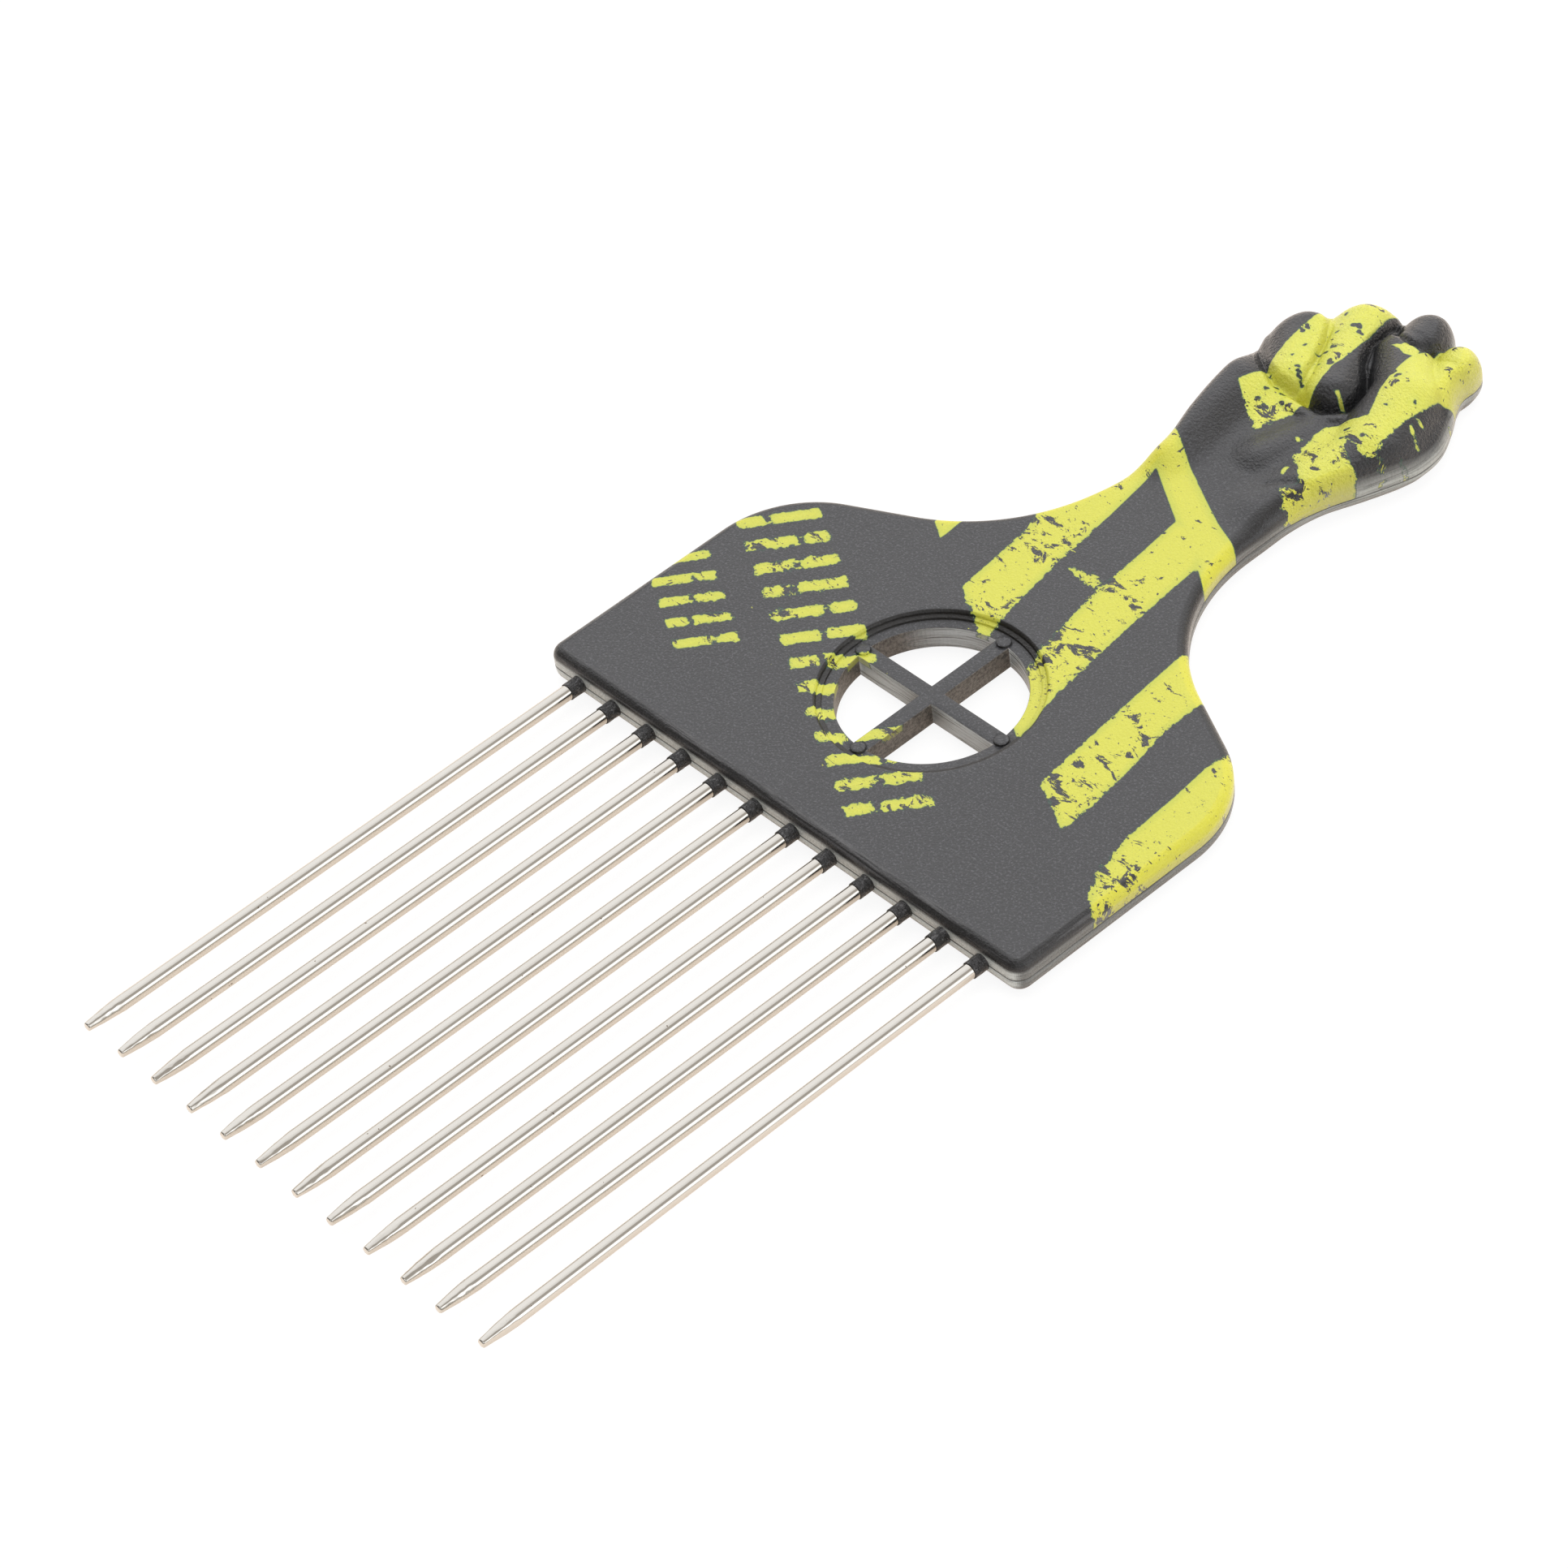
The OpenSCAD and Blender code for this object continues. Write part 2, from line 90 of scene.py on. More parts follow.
def lump(x, y, seed):
    """Even, seeded noise between -1 and 1, with lumps about one unit across."""
    x, y = np.asarray(x, float), np.asarray(y, float)
    i, j = np.floor(x), np.floor(y)
    u, v = smooth(x - i), smooth(y - j)

    def at(a, b):
        h = np.sin(a * 127.1 + b * 311.7 + seed * 74.7) * 43758.5453
        return (h - np.floor(h)) * 2 - 1

    top = at(i, j) * (1 - u) + at(i + 1, j) * u
    low = at(i, j + 1) * (1 - u) + at(i + 1, j + 1) * u
    return top * (1 - v) + low * v


def near_segment(x, y, ax, ay, bx, by):
    """The share of a segment that lies nearest to each point, and the distance to it."""
    dx, dy = bx - ax, by - ay
    t = np.clip(((x - ax) * dx + (y - ay) * dy) / (dx * dx + dy * dy), 0, 1)
    return t, np.hypot(x - ax - dx * t, y - ay - dy * t)


def inside(x, y, loop):
    """Which of the points lie inside a closed loop of points."""
    r = np.zeros(np.shape(x), bool)
    px, py = loop[-1]
    for qx, qy in loop:
        if (py > qy) != (py < qy) and py != qy:
            r ^= ((py > y) != (qy > y)) & (x < (px - qx) * (y - qy) / (py - qy) + qx)
        px, py = qx, qy
    return r


def signed(x, y, loop):
    """Distance from a closed loop, positive inside it."""
    d = np.full(np.shape(x), 1e9)
    for a, b in zip([loop[-1]] + loop[:-1], loop):
        d = np.minimum(d, near_segment(x, y, *a, *b)[1])
    return np.where(inside(x, y, loop), d, -d)


class Mesh:
    """Points and faces gathered from several grids, with one material slot number a face."""

    def __init__(self):
        self.points, self.faces, self.slots, self.n = [], [], [], 0

    def add(self, p):
        p = np.asarray(p, float).reshape(-1, 3)
        self.points.append(p)
        self.n += len(p)
        return np.arange(self.n - len(p), self.n)

    def at(self, ids):
        return np.concatenate(self.points)[ids]

    def face(self, f, slot=SKIN):
        self.faces.extend(f)
        self.slots.extend([slot] * len(f))

    def band(self, a, b, closed=True, slot=SKIN, turned=False):
        """Quads between two rows of points."""
        a, b = np.asarray(a), np.asarray(b)
        if closed:
            a, b = np.append(a, a[0]), np.append(b, b[0])
        q = np.stack([a[:-1], a[1:], b[1:], b[:-1]], 1)
        if turned:
            q = q[:, ::-1]
        self.face(q.tolist(), slot)

    def build(self, name):
        p = np.concatenate(self.points)
        me = bpy.data.meshes.new(name)
        me.from_pydata(to_row(p).tolist(), [], self.faces)
        me.polygons.foreach_set("material_index", self.slots)
        me.polygons.foreach_set("use_smooth", [True] * len(self.faces))
        me.update()
        ob = bpy.data.objects.new(name, me)
        bpy.context.scene.collection.objects.link(ob)
        return ob, p


# Outline of the handle, as points and directions into the solid

def arc(c, r, a0, a1, n, into):
    a = np.radians(np.linspace(a0, a1, n + 1))
    d = np.stack([np.cos(a), np.sin(a)], 1)
    return np.asarray(c) + r * d, into * d


def straight(p, q, inward, n):
    t = np.linspace(0, 1, n + 1)[1:-1, None]
    p, q = np.asarray(p, float), np.asarray(q, float)
    return p + (q - p) * t, np.repeat([inward], n - 1, 0).astype(float)


# Steps along each stretch of the outline
CORNER_STEPS, ARC_STEPS, FRONT_STEPS, SIDE_STEPS, SLOPE_STEPS, WRIST_STEPS = 14, 44, 56, 36, 14, 4


def right_side():
    corner = arc([HALF_W - CORNER_R, CORNER_R], CORNER_R, -90, 0, CORNER_STEPS, -1)
    shoulder = arc([HALF_W - SHOULDER_R, SIDE_L], SHOULDER_R, 0, SHOULDER_TURN, ARC_STEPS, -1)
    neck = arc([WRIST_W / 2 + NECK_R, NECK_L], NECK_R, 180 + SHOULDER_TURN, 180, ARC_STEPS, 1)
    wrist = np.array([[WRIST_W / 2, WRIST_Y]]), np.array([[-1.0, 0]])
    parts = [
        (np.array([[0.0, 0.0]]), np.array([[0.0, 1.0]])),
        straight([0, 0], corner[0][0], [0, 1], FRONT_STEPS), corner,
        straight(corner[0][-1], shoulder[0][0], [-1, 0], SIDE_STEPS), shoulder,
        straight(shoulder[0][-1], neck[0][0], shoulder[1][-1], SLOPE_STEPS), neck,
        straight(neck[0][-1], wrist[0][0], [-1, 0], WRIST_STEPS), wrist,
    ]
    return np.concatenate([a for a, b in parts]), np.concatenate([b for a, b in parts])


# Knots of the hand's outline. On its sides they hold a share of its length and the shares by which the right
# and the left side have widened there, on the knuckles shares of half its width and of its length.
SIDE_SHARES = [[0, 0, 0], [.11, .03, .1], [.235, .26, .4], [.36, .64, .64], [.463, .92, .77], [.527, 1, .8]]
KNUCKLE_SHARES = [
    [.973, .611], [.858, .696], [.736, .765], [.67, .819], [.666, .873], [.615, .922], [.486, .95],
    [.358, .936], [.291, .912], [.264, .944], [.176, .98], [.054, 1], [-.081, .988], [-.176, .962],
    [-.216, .935], [-.304, .943], [-.432, .943], [-.601, .911], [-.705, .854], [-.735, .795],
    [-.82, .785], [-.926, .755], [-.995, .698], [-1, .636], [-.96, .58]]
# Spans between knots that the net's side takes up, on the thumb's side and on the little finger's
THUMB_SPANS, LITTLE_SPANS = 11, 9
# Steps of the net over the palm, up each side and across, and the number of the outline's last point
UP_N, ACROSS_N = 168, 176
END = 2 * UP_N + ACROSS_N
# The rounding leans toward a point that rises to this share of the fist's length
LEAN_SHARE = 0.6
# The curve swings a little past its topmost knot, so it is cut off this far below the full length
TOP_ROOM = 0.025


def hand_line():
    wide = (FIST_W - WRIST_W) / 2
    k = [[WRIST_W / 2 + s[1] * wide, WRIST_Y + s[0] * FIST_L] for s in SIDE_SHARES]
    k += [[s[0] * FIST_W / 2, WRIST_Y + s[1] * FIST_L] for s in KNUCKLE_SHARES]
    k += [[-(WRIST_W / 2 + s[2] * wide), WRIST_Y + s[0] * FIST_L] for s in SIDE_SHARES[::-1]]
    k = np.array(k)
    spans = len(k) - 1
    k = np.vstack([[k[0][0], 2 * k[0][1] - k[1][1]], k, [k[-1][0], 2 * k[-1][1] - k[-2][1]]])
    i = np.arange(END + 1)
    middle = THUMB_SPANS + (i - UP_N) * (spans - THUMB_SPANS - LITTLE_SPANS) / ACROSS_N
    s = np.where(i <= UP_N, i * THUMB_SPANS / UP_N,
                 np.where(i < UP_N + ACROSS_N, middle, spans - (END - i) * LITTLE_SPANS / UP_N))
    a = np.minimum(np.floor(s).astype(int), spans - 1)
    t = (s - a)[:, None]
    p, q, r, w = k[a], k[a + 1], k[a + 2], k[a + 3]
    square, cube = 2 * p - 5 * q + 4 * r - w, 3 * q - p - 3 * r + w
    line = 0.5 * (2 * q + (r - p) * t + square * t ** 2 + cube * t ** 3)
    line[:, 1] = np.minimum(line[:, 1], HANDLE_L - TOP_ROOM)
    rise = np.minimum(np.minimum(i, END - i), UP_N) / UP_N
    into = np.stack([0 * s, WRIST_Y + LEAN_SHARE * FIST_L * rise], 1) - line
    into /= np.linalg.norm(into, axis=1)[:, None]
    return line, into


# Relief of the fist. A row holds both ends of a spine, then the radius and the height at each end.
MOUNDS = [[-9.6, 69.0, -11.0, 83.6, 6.6, 7.0, 4.5, 4.7], [7.0, 70.0, 9.6, 85.5, 5.6, 7.0, 2.7, 5.1]]
PALM_RIDGE, PALM_RIDGE_H = [.2, 76, 2.2, 83, 3.6, 3.6, 1, 1], .75
FINGERS = [
    [9.6, 85.5, 7.0, 93.0, 6.2, 5.6, 5.0, 5.7], [6.8, 94.0, 1.0, 99.6, 5.4, 4.3, 5.75, 4.9],
    [-13.0, 98.3, -7.0, 88.8, 5.4, 4.4, 4.0, 4.3], [-8.2, 103, -1.0, 89.8, 4.4, 4.2, 3.8, 4.6],
    [0.6, 107, 1.3, 102.6, 4.4, 4.2, 4.5, 4.6], [7.6, 104.5, 9.2, 98.5, 4.6, 5.2, 4.3, 4.4]]
# The fold of skin that runs under the ring finger's tip and on to the thumb
FOLDS = [[-3.6, 84.6, 1.5, 84.4, 1.9, 1.9, 3.0, 3.2], [1.5, 84.4, 4.6, 87.3, 1.9, 1.9, 3.2, 3.3]]
MOUND_BLEND, FINGER_BLEND, FOLD_BLEND = 2.2, 0.32, 0.3
# Creases: depth, half their width, and the line that they follow
CREASES = [
    (.9, 1.1, [(-14.6, 91), (-11.6, 88.5), (-9.2, 86.9), (-6.9, 86), (-4.2, 86.3), (-2.6, 86.2)]),
    (.45, .7, [(-10.6, 100.2), (-9.2, 97.7), (-7.4, 95.2), (-5.6, 91.6), (-4.3, 88.4), (-4, 86.8)]),
    (1.0, .9, [(-4.2, 105), (-3.5, 101.5), (-2.8, 98.3), (-1, 95.2), (1.9, 92.4), (2.9, 90), (2.4, 87.9),
               (.6, 86.4), (-1.6, 85.9), (-3.4, 86.1)]),
    (.7, .9, [(-3.6, 103.3), (-.9, 100.6), (2, 99.9), (4, 101.3), (4.4, 104.4), (3.8, 107.4)]),
    (.35, .9, [(4.1, 100.9), (7.7, 100.9), (10.8, 99.9), (14, 97.6)]),
    (.25, 1.0, [(4.6, 72.6), (7.2, 74.2), (9.2, 74.9), (12.4, 74.6)])]
# How far before the wrist's end the hand starts to swell, and over what length, then the same for the wider
# rounding of its upper edge
SWELL_FROM, SWELL_L = 5, 8
ROUND_FROM, ROUND_L = 9, 13
# How uneven the hand's skin is, and how wide and long its lumps are
SKIN_H, SKIN_LUMP_W, SKIN_LUMP_L = 0.035, 2.3, 2.9


def swelling(x, y, row):
    """Height of a row's spine beside each point, and the share left there: 1 on the spine, 0 at the foot."""
    t, off = near_segment(x, y, *row[:4])
    ra, rb, ha, hb = row[4:]
    return ha + (hb - ha) * t, np.clip(1 - (off / (ra + (rb - ra) * t)) ** 2, 0, None)


def lobe(x, y, row):
    high, left = swelling(x, y, row)
    return high * np.sqrt(left)


def mound(x, y, row):
    high, left = swelling(x, y, row)
    return high * left


def crease(x, y, deep, wide, line):
    off = np.min([near_segment(x, y, *a, *b)[1] for a, b in zip(line, line[1:])], 0)
    return deep * np.clip(1 - off / wide, 0, 1) ** 1.5


def hand_part(y):
    return smooth((y - WRIST_Y) / BLEND_L)


def relief(x, y):
    h = HALF_T + (PALM_H - HALF_T) * hand_part(y)
    for row in MOUNDS:
        h = smax(h, mound(x, y, row), MOUND_BLEND)
    h = h + PALM_RIDGE_H * mound(x, y, PALM_RIDGE) ** 2
    for row in FINGERS:
        h = smax(h, lobe(x, y, row), FINGER_BLEND)
    for row in FOLDS:
        h = smax(h, lobe(x, y, row), FOLD_BLEND)
    for deep, wide, line in CREASES:
        h = h - crease(x, y, deep, wide, line)
    swell = smooth((y - WRIST_Y + SWELL_FROM) / SWELL_L)
    h = h + SKIN_H * lump(x / SKIN_LUMP_W, y / SKIN_LUMP_L, 3) * swell
    return HALF_T + (h - HALF_T) * swell


# Grooves of the back: both ends, as shares of half the fist's width and of its length
BACK_GROOVES = [[-.735, .795, -.42, .5], [-.216, .935, -.13, .52], [.291, .912, .2, .54]]
BACK_BLEND = 0.12


def back_z(x, y):
    """Height of the back, with the grooves that run in between the fingers and end on its flat."""
    r = (BACK_GROOVE_W ** 2 / 4 + BACK_GROOVE_D ** 2) / (2 * BACK_GROOVE_D)
    z = np.full(np.shape(x), -HALF_T)
    for a, b, c, d in BACK_GROOVES:
        ax, ay, bx, by = a * FIST_W / 2, WRIST_Y + b * FIST_L, c * FIST_W / 2, WRIST_Y + d * FIST_L
        span = math.hypot(bx - ax, by - ay)
        ux, uy = (bx - ax) / span, (by - ay) / span
        along = (x - ax) * ux + (y - ay) * uy
        off = np.abs((x - ax) * uy - (y - ay) * ux)
        deep = BACK_GROOVE_D * (1 - along / span)
        groove = -HALF_T + deep - r + np.sqrt(np.clip(r * r - off * off, 0, None))
        groove = np.where((along > -HAND_EDGE_R) & (off < r * 0.9), groove, -9)
        z = smax(z, groove, BACK_BLEND)
    return np.maximum(z, -HALF_T)


# The printed pattern, as outlines in plan: hazard stripes on the plate and patches on the hand
STRIPES = [
    # the band at the wrist, then the stripes of the plate and a small piece beside them
    [(-14, 74.6), (-6.7, 70.7), (.8, 66.7), (4.9, 64.6), (8.8, 63.1), (11.4, 61.5), (16, 59), (16, 52.9),
     (14.1, 53.9), (8.4, 57.7), (1.1, 61.7), (-6.9, 66.6), (-14, 70)],
    [(-14, 71), (-13.2, 54), (-11.4, 50.8), (-10.9, 48), (-9.8, 38.8), (-9.7, 37.9), (-6, 35.9),
     (-2.1, 33.7), (-2.2, 36.2), (-4.4, 48.7), (-5.4, 57.2), (-6.9, 66.7), (-6.7, 70.5)],
    [(1, 61.8), (1.9, 54.4), (2.5, 47.3), (5, 33.9), (6.1, 28.7), (12.7, 25.3), (11.2, 33.2), (9.6, 45.3),
     (8.4, 57.8), (5, 64)],
    [(16.6, 52), (17.2, 47.1), (18, 38.4), (19.9, 21.7), (27.1, 17.9), (26.7, 23.7), (25.8, 30.1),
     (24.6, 36.2), (24.3, 46)],
    [(32.1, 44), (32, 35.5), (32.6, 29.6), (33.1, 21.7), (34.6, 15.7), (36.5, 12.7), (42, 9), (42, 44)],
    [(-21.4, 45.6), (-20, 43.6), (-17.5, 42.1), (-17.9, 47), (-19, 48)],
    # the little and ring finger
    [(-11, 99), (-10.5, 94.8), (-9.9, 91.2), (-9.2, 87.9), (-8.6, 86), (-9.3, 82.5), (-6.5, 80.8),
     (-2.7, 78.5), (-2.7, 79.6), (-2.2, 81.5), (-1.9, 82.3), (-1.4, 83.3), (-1.3, 85.2), (-1.6, 86.6),
     (-1.9, 88.7), (-2.2, 90), (-2.5, 91.2), (-2.4, 93.3), (-2.7, 94.9), (-3, 96.4), (-3.4, 98.3),
     (-4, 100.5), (-4.7, 103.1), (-4.9, 107), (-12, 107)],
    # the thumb and index finger
    [(3.6, 107), (4.1, 103.5), (4.2, 100.5), (4, 98), (4.2, 96), (4.5, 93.8), (5.2, 91.2), (6.2, 89.2),
     (7.2, 87.2), (6.3, 86.3), (4.7, 85.7), (3.5, 83.9), (3.5, 82.1), (3.9, 78.9), (3.9, 77.6), (5.7, 76.8),
     (8.1, 74.6), (7.6, 73.9), (6.9, 72.6), (8.9, 71.3), (11.3, 69.2), (17, 66), (17, 74), (13.8, 75),
     (12.9, 76.2), (12.4, 78), (12, 80), (10.6, 80.5), (8.6, 81.8), (7.7, 83.2), (9.5, 82.6), (11, 82.2),
     (11.7, 82.4), (12, 83), (11.8, 84.5), (11.5, 86), (11.1, 88.3), (11, 90.5), (11, 92.7), (10.8, 95.1),
     (12.3, 97.2), (13.5, 99), (17, 101), (17, 109)],
    [(.3, 98.2), (1.5, 98.8), (1.6, 99.8), (2.7, 99.4), (3.9, 99.4), (4.4, 98), (3.1, 97.5), (1.8, 98)],
    # thin splashes round the patches
    [(12.6, 79.6), (12.9, 80.1), (14.3, 78.8), (15, 77.8)],
    [(14, 85.4), (14.5, 85.8), (15.7, 84.6), (16, 83.7)],
    [(12.4, 83.2), (12.9, 83.6), (13.3, 83.3), (13.1, 82.8)],
    [(11.3, 90.6), (11.5, 91), (12.7, 90.6), (12.3, 90.4)],
    [(.4, 88.5), (.8, 88.9), (2.4, 88.2), (1.9, 87.9)],
    [(12.7, 94.5), (12.9, 94.9), (14.3, 93.8), (14.1, 93.6)],
    [(11.6, 89.2), (11.7, 89.6), (14.1, 88.3), (13.8, 88)],
    [(13.3, 82.6), (13.6, 83.2), (14.2, 82.9), (13.8, 82.5)],
    [(4.7, 75.1), (4.5, 76.2), (5.2, 76.1), (5.5, 74.7)],
    [(2, 80.2), (2.3, 80.6), (2.9, 80.5), (2.7, 80)],
    # a small piece between two stripes of the plate
    [(-3.1, 48.2), (.2, 49.3), (1.9, 49), (2.3, 47.6), (-.3, 47.5)],
]
# How far round an outline the print's distance is worked out
PRINT_REACH = 6.0


def dashes(start, step, count, tall, wide, lean):
    """A row of slanted bars, each with a bridge left in it: a plain stencilled hazard band."""
    out = []
    for i in range(count):
        o = np.array(start) + np.array(step) * i
        cut = (.34, .62, .47)[i % 3]
        for a, b in ((0, cut), (cut + .07, 1)):
            low, high = o + (tall + lean) * a, o + (tall + lean) * b
            out.append([tuple(v) for v in (low, low + wide, high + wide, high)])
    return out


ROW_TURN = math.radians(-28.6)
ROW = np.array([math.cos(ROW_TURN), math.sin(ROW_TURN)])
UP = np.array([-ROW[1], ROW[0]])
BARS = dashes((-38.2, 28.9), ROW * 4.2, 13, UP * 9.7, ROW * 1.9, ROW * 1.6)
BARS += dashes((-41.4, 17.3), ROW * 3.7, 5, UP * 7.5, ROW * 1.6, ROW * 1.3)

# Places where the print is worn more than elsewhere: x, y, radius, amount
WORN = [
    (-8, 50, 7, .8), (-5, 36, 6, .8), (5, 49, 6, .6), (6, 37, 7, 1), (1, 48, 5, 1), (22, 24, 7, .8),
    (23, 36, 6, .5), (35, 16, 7, 1), (38, 13, 5, 1), (33, 39, 4, .7), (-4, 80.5, 3.6, 1),
    (5.4, 79, 3.2, 1), (9, 82.4, 2.6, .8), (9, 71, 5, 1.1), (12, 88, 3, .5), (13.5, 84, 4.5, 1.2),
    (13.5, 92, 4, .5), (-7, 93, 6, .25), (-26, 24, 13, .75), (-4, 16, 16, .75), (8, 10, 10, .75),
    (15, 50, 5, .6), (27, 40, 5, .5)]
WORN_ANYWHERE = 0.12
# The band at the wrist, from one Y to the other, keeps this share of the wear
WHOLE_BAND, WHOLE_BAND_WEAR = (55, 68), 0.25

# Dark spots in the print on the hand: x, y, radius
SPOTS = [
    (-8.4, 99.8, .3), (-5.6, 98.7, .56), (-4.5, 98, .4), (-5.2, 94.2, .36), (-3.3, 91.7, .5),
    (-9.9, 94.8, .4), (-9.9, 93.9, .36), (4.5, 94.3, .36), (5.4, 94, .36), (9.8, 92.2, .26),
    (7.8, 89.5, .2), (-4.9, 88.1, .3), (-5.8, 88.9, .26), (-4.2, 87.8, .26), (-5.3, 88.5, .28),
    (-6, 92.7, .26), (-5.4, 93.1, .26), (-7.6, 89.9, .2), (-3.7, 83.9, .3), (-6.6, 84.4, .26),
    (-6.1, 82.7, .3), (-6.2, 85.7, .26), (-5, 85.4, .3), (-4.9, 82.4, .26), (7.3, 83, .4),
    (9.1, 82.2, .46), (6.4, 84.3, .3), (9.1, 84.2, .26), (3.6, 84.4, .26), (-2.6, 95.4, .22),
    (-6.9, 96.6, .2), (-4.6, 91.1, .2), (-7.8, 92.2, .22), (12.2, 97.4, .2), (5.2, 88.6, .2),
    (-8, 86.4, .2)]


def ink_of(x, y):
    """Distance from the border of the print, positive where there is print."""
    d = np.full(np.shape(x), -PRINT_REACH)
    for loop in STRIPES + BARS:
        lo, hi = np.min(loop, 0) - PRINT_REACH, np.max(loop, 0) + PRINT_REACH
        near = (x > lo[0]) & (x < hi[0]) & (y > lo[1]) & (y < hi[1])
        if near.any():
            d[near] = np.maximum(d[near], signed(x[near], y[near], loop))
    for cx, cy, r in SPOTS:
        a = np.arctan2(y - cy, x - cx)
        wavy = r * (1 + .3 * np.sin(2 * a + cx) + .2 * np.sin(3 * a + cy * 2))
        d = np.minimum(d, np.hypot(x - cx, y - cy) - wavy)
    return np.clip(d, -PRINT_REACH, PRINT_REACH)


def worn_of(x, y):
    w = np.full(np.shape(x), WORN_ANYWHERE)
    for cx, cy, r, amount in WORN:
        w = np.maximum(w, amount * np.exp(-((x - cx) ** 2 + (y - cy) ** 2) / (r * r)))
    return w * np.where((y > WHOLE_BAND[0]) & (y < WHOLE_BAND[1]), WHOLE_BAND_WEAR, 1)


# The moulding

# Distance between the points on the flat faces and on the floors of the recess, the share of it that they keep
# from the rim, and a little room besides
FLAT_NET, FLOOR_NET = 0.62, 0.7
FLAT_RIM, FLOOR_RIM = 0.35, 0.3
RIM_ROOM = 0.05


def fill(m, loops, spacing, height, rim=FLAT_RIM, turned=False):
    """Triangles between an outer loop and holes, all given as lists of point numbers, with a net of points
    at the given spacing in between. height(x, y) gives Z."""
    rings = [np.asarray(l) for l in loops]
    xy_rings = [m.at(r)[:, :2] for r in rings]
    lo, hi = xy_rings[0].min(0), xy_rings[0].max(0)

    def kept(x, y):
        ok = inside(x, y, xy_rings[0])
        for hole in xy_rings[1:]:
            ok &= ~inside(x, y, hole)
        return ok

    columns = np.arange(lo[0] + spacing / 2, hi[0], spacing)
    rows = np.arange(lo[1] + spacing / 2, hi[1], spacing)
    gx, gy = np.meshgrid(columns, rows)
    gx[1::2] += spacing / 2
    gx, gy = gx.ravel(), gy.ravel()
    ok = kept(gx, gy)
    gx, gy = gx[ok], gy[ok]
    edge = np.concatenate(xy_rings)
    ok = np.ones(len(gx), bool)
    chunk = 2000
    for i in range(0, len(gx), chunk):
        part = slice(i, i + chunk)
        d = np.hypot(gx[part, None] - edge[None, :, 0], gy[part, None] - edge[None, :, 1]).min(1)
        ok[part] = d > spacing * rim + RIM_ROOM
    gx, gy = gx[ok], gy[ok]
    ids = np.concatenate(rings + [m.add(np.stack([gx, gy, height(gx, gy)], 1))])
    xy = np.concatenate([edge, np.stack([gx, gy], 1)])
    edges, k = [], 0
    for r in rings:
        n = len(r)
        edges += [(k + i, k + (i + 1) % n) for i in range(n)]
        k += n
    _, _, tris, orig, _, _ = delaunay_2d_cdt([Vector(v) for v in xy], edges, [], 0, 1e-5)
    tris = np.array([[orig[i][0] for i in t] for t in tris])
    mid = xy[tris].mean(1)
    t = ids[tris[kept(mid[:, 0], mid[:, 1])]]
    m.face((t[:, ::-1] if turned else t).tolist())


def circle(m, cx, cy, r, z, n):
    a = np.linspace(0, 2 * math.pi, n, endpoint=False)
    return m.add(np.stack([cx + r * np.cos(a), cy + r * np.sin(a), np.full(n, z)], 1))


# Parting groove: how deep it is, and half its width
PARTING_D, PARTING_HALF = 0.14, 0.11
EDGE_SHARES = [0, .1, .2, .3, .4, .5, .6, .7, .8, .9, 1]
# Height at which each rounding starts on the hand, as a share of the face's own height
HAND_WALL, HAND_BACK_WALL = 0.22, 0.06
# Shares of the fist's length: where the wide rounding of its back is full, where it starts to end, and the
# share over which it ends
BACK_ROUND_IN, BACK_ROUND_OUT, BACK_ROUND_END = 0.223, 0.67, 0.124
# Scuffs and a painted sheen reach these shares of the upper and the lower rounding. On the plate's upper edge
# they go by share.
SCUFF_SHEEN_UP, SCUFF_SHEEN_DOWN = 0.5, 0.7
PLATE_SCUFF_SHEEN = {0: .75, .1: .3}
# The edge value on a rounding's last ring, where it meets the face. The other rings have 1.
LAST_RING_EDGE = 0.15


def edge_ring(m, line, into, up, share):
    """One ring of points over the rounding of an edge, at a share of its quarter turn."""
    y = line[:, 1]
    if up:
        hand = smooth((y - WRIST_Y + ROUND_FROM) / ROUND_L)
        r_plate, r_hand, wall = TOP_EDGE_R, HAND_EDGE_R, HAND_WALL
    else:
        along = (y - WRIST_Y) / FIST_L
        wider = smooth(along / BACK_ROUND_IN) * (1 - smooth((along - BACK_ROUND_OUT) / BACK_ROUND_END))
        hand = hand_part(y)
        r_hand = HAND_BACK_R + (HAND_BACK_SIDE_R - HAND_BACK_R) * wider
        r_plate, wall = BACK_EDGE_R, HAND_BACK_WALL
    r = r_plate + (r_hand - r_plate) * hand
    w = 1 - r_plate / HALF_T
    w = w + (wall - w) * hand
    a = share * math.pi / 2
    q = line + into * (r * (1 - math.cos(a)))[:, None]
    h = relief(q[:, 0], q[:, 1]) if up else HALF_T
    z = h * (w + (1 - w) * math.sin(a))
    if not up:
        z = np.maximum(-z, back_z(q[:, 0], q[:, 1]))
    return m.add(np.column_stack([q, z]))


def rounded_edges(m, line, into):
    """The parting groove and both roundings. Gives the last ring of each, and every ring with its share of
    scuffs and painted sheen.
    """
    hand = hand_part(line[:, 1])
    groove = m.add(np.column_stack([line + into * PARTING_D, 0 * hand]))
    feet, rings = {}, [(groove, 0.0)]
    for up in (True, False):
        prev = m.add(np.column_stack([line, 0 * hand + (PARTING_HALF if up else -PARTING_HALF)]))
        # the groove's walls take the deep black: painted shade
        m.band(groove, prev, turned=not up, slot=DEEP_SHADE)
        rings.append((prev, 1.0))
        for share in EDGE_SHARES:
            ring = edge_ring(m, line, into, up, share)
            m.band(prev, ring, turned=not up)
            # how far the scuffs and the painted sheen reach on this ring
            broad = max(0.0, 1 - share / (SCUFF_SHEEN_UP if up else SCUFF_SHEEN_DOWN))
            strip = PLATE_SCUFF_SHEEN.get(share, 0.0) if up else broad
            rings.append((ring, strip + (broad - strip) * hand))
            prev = ring
        feet[up] = prev
    return feet, rings


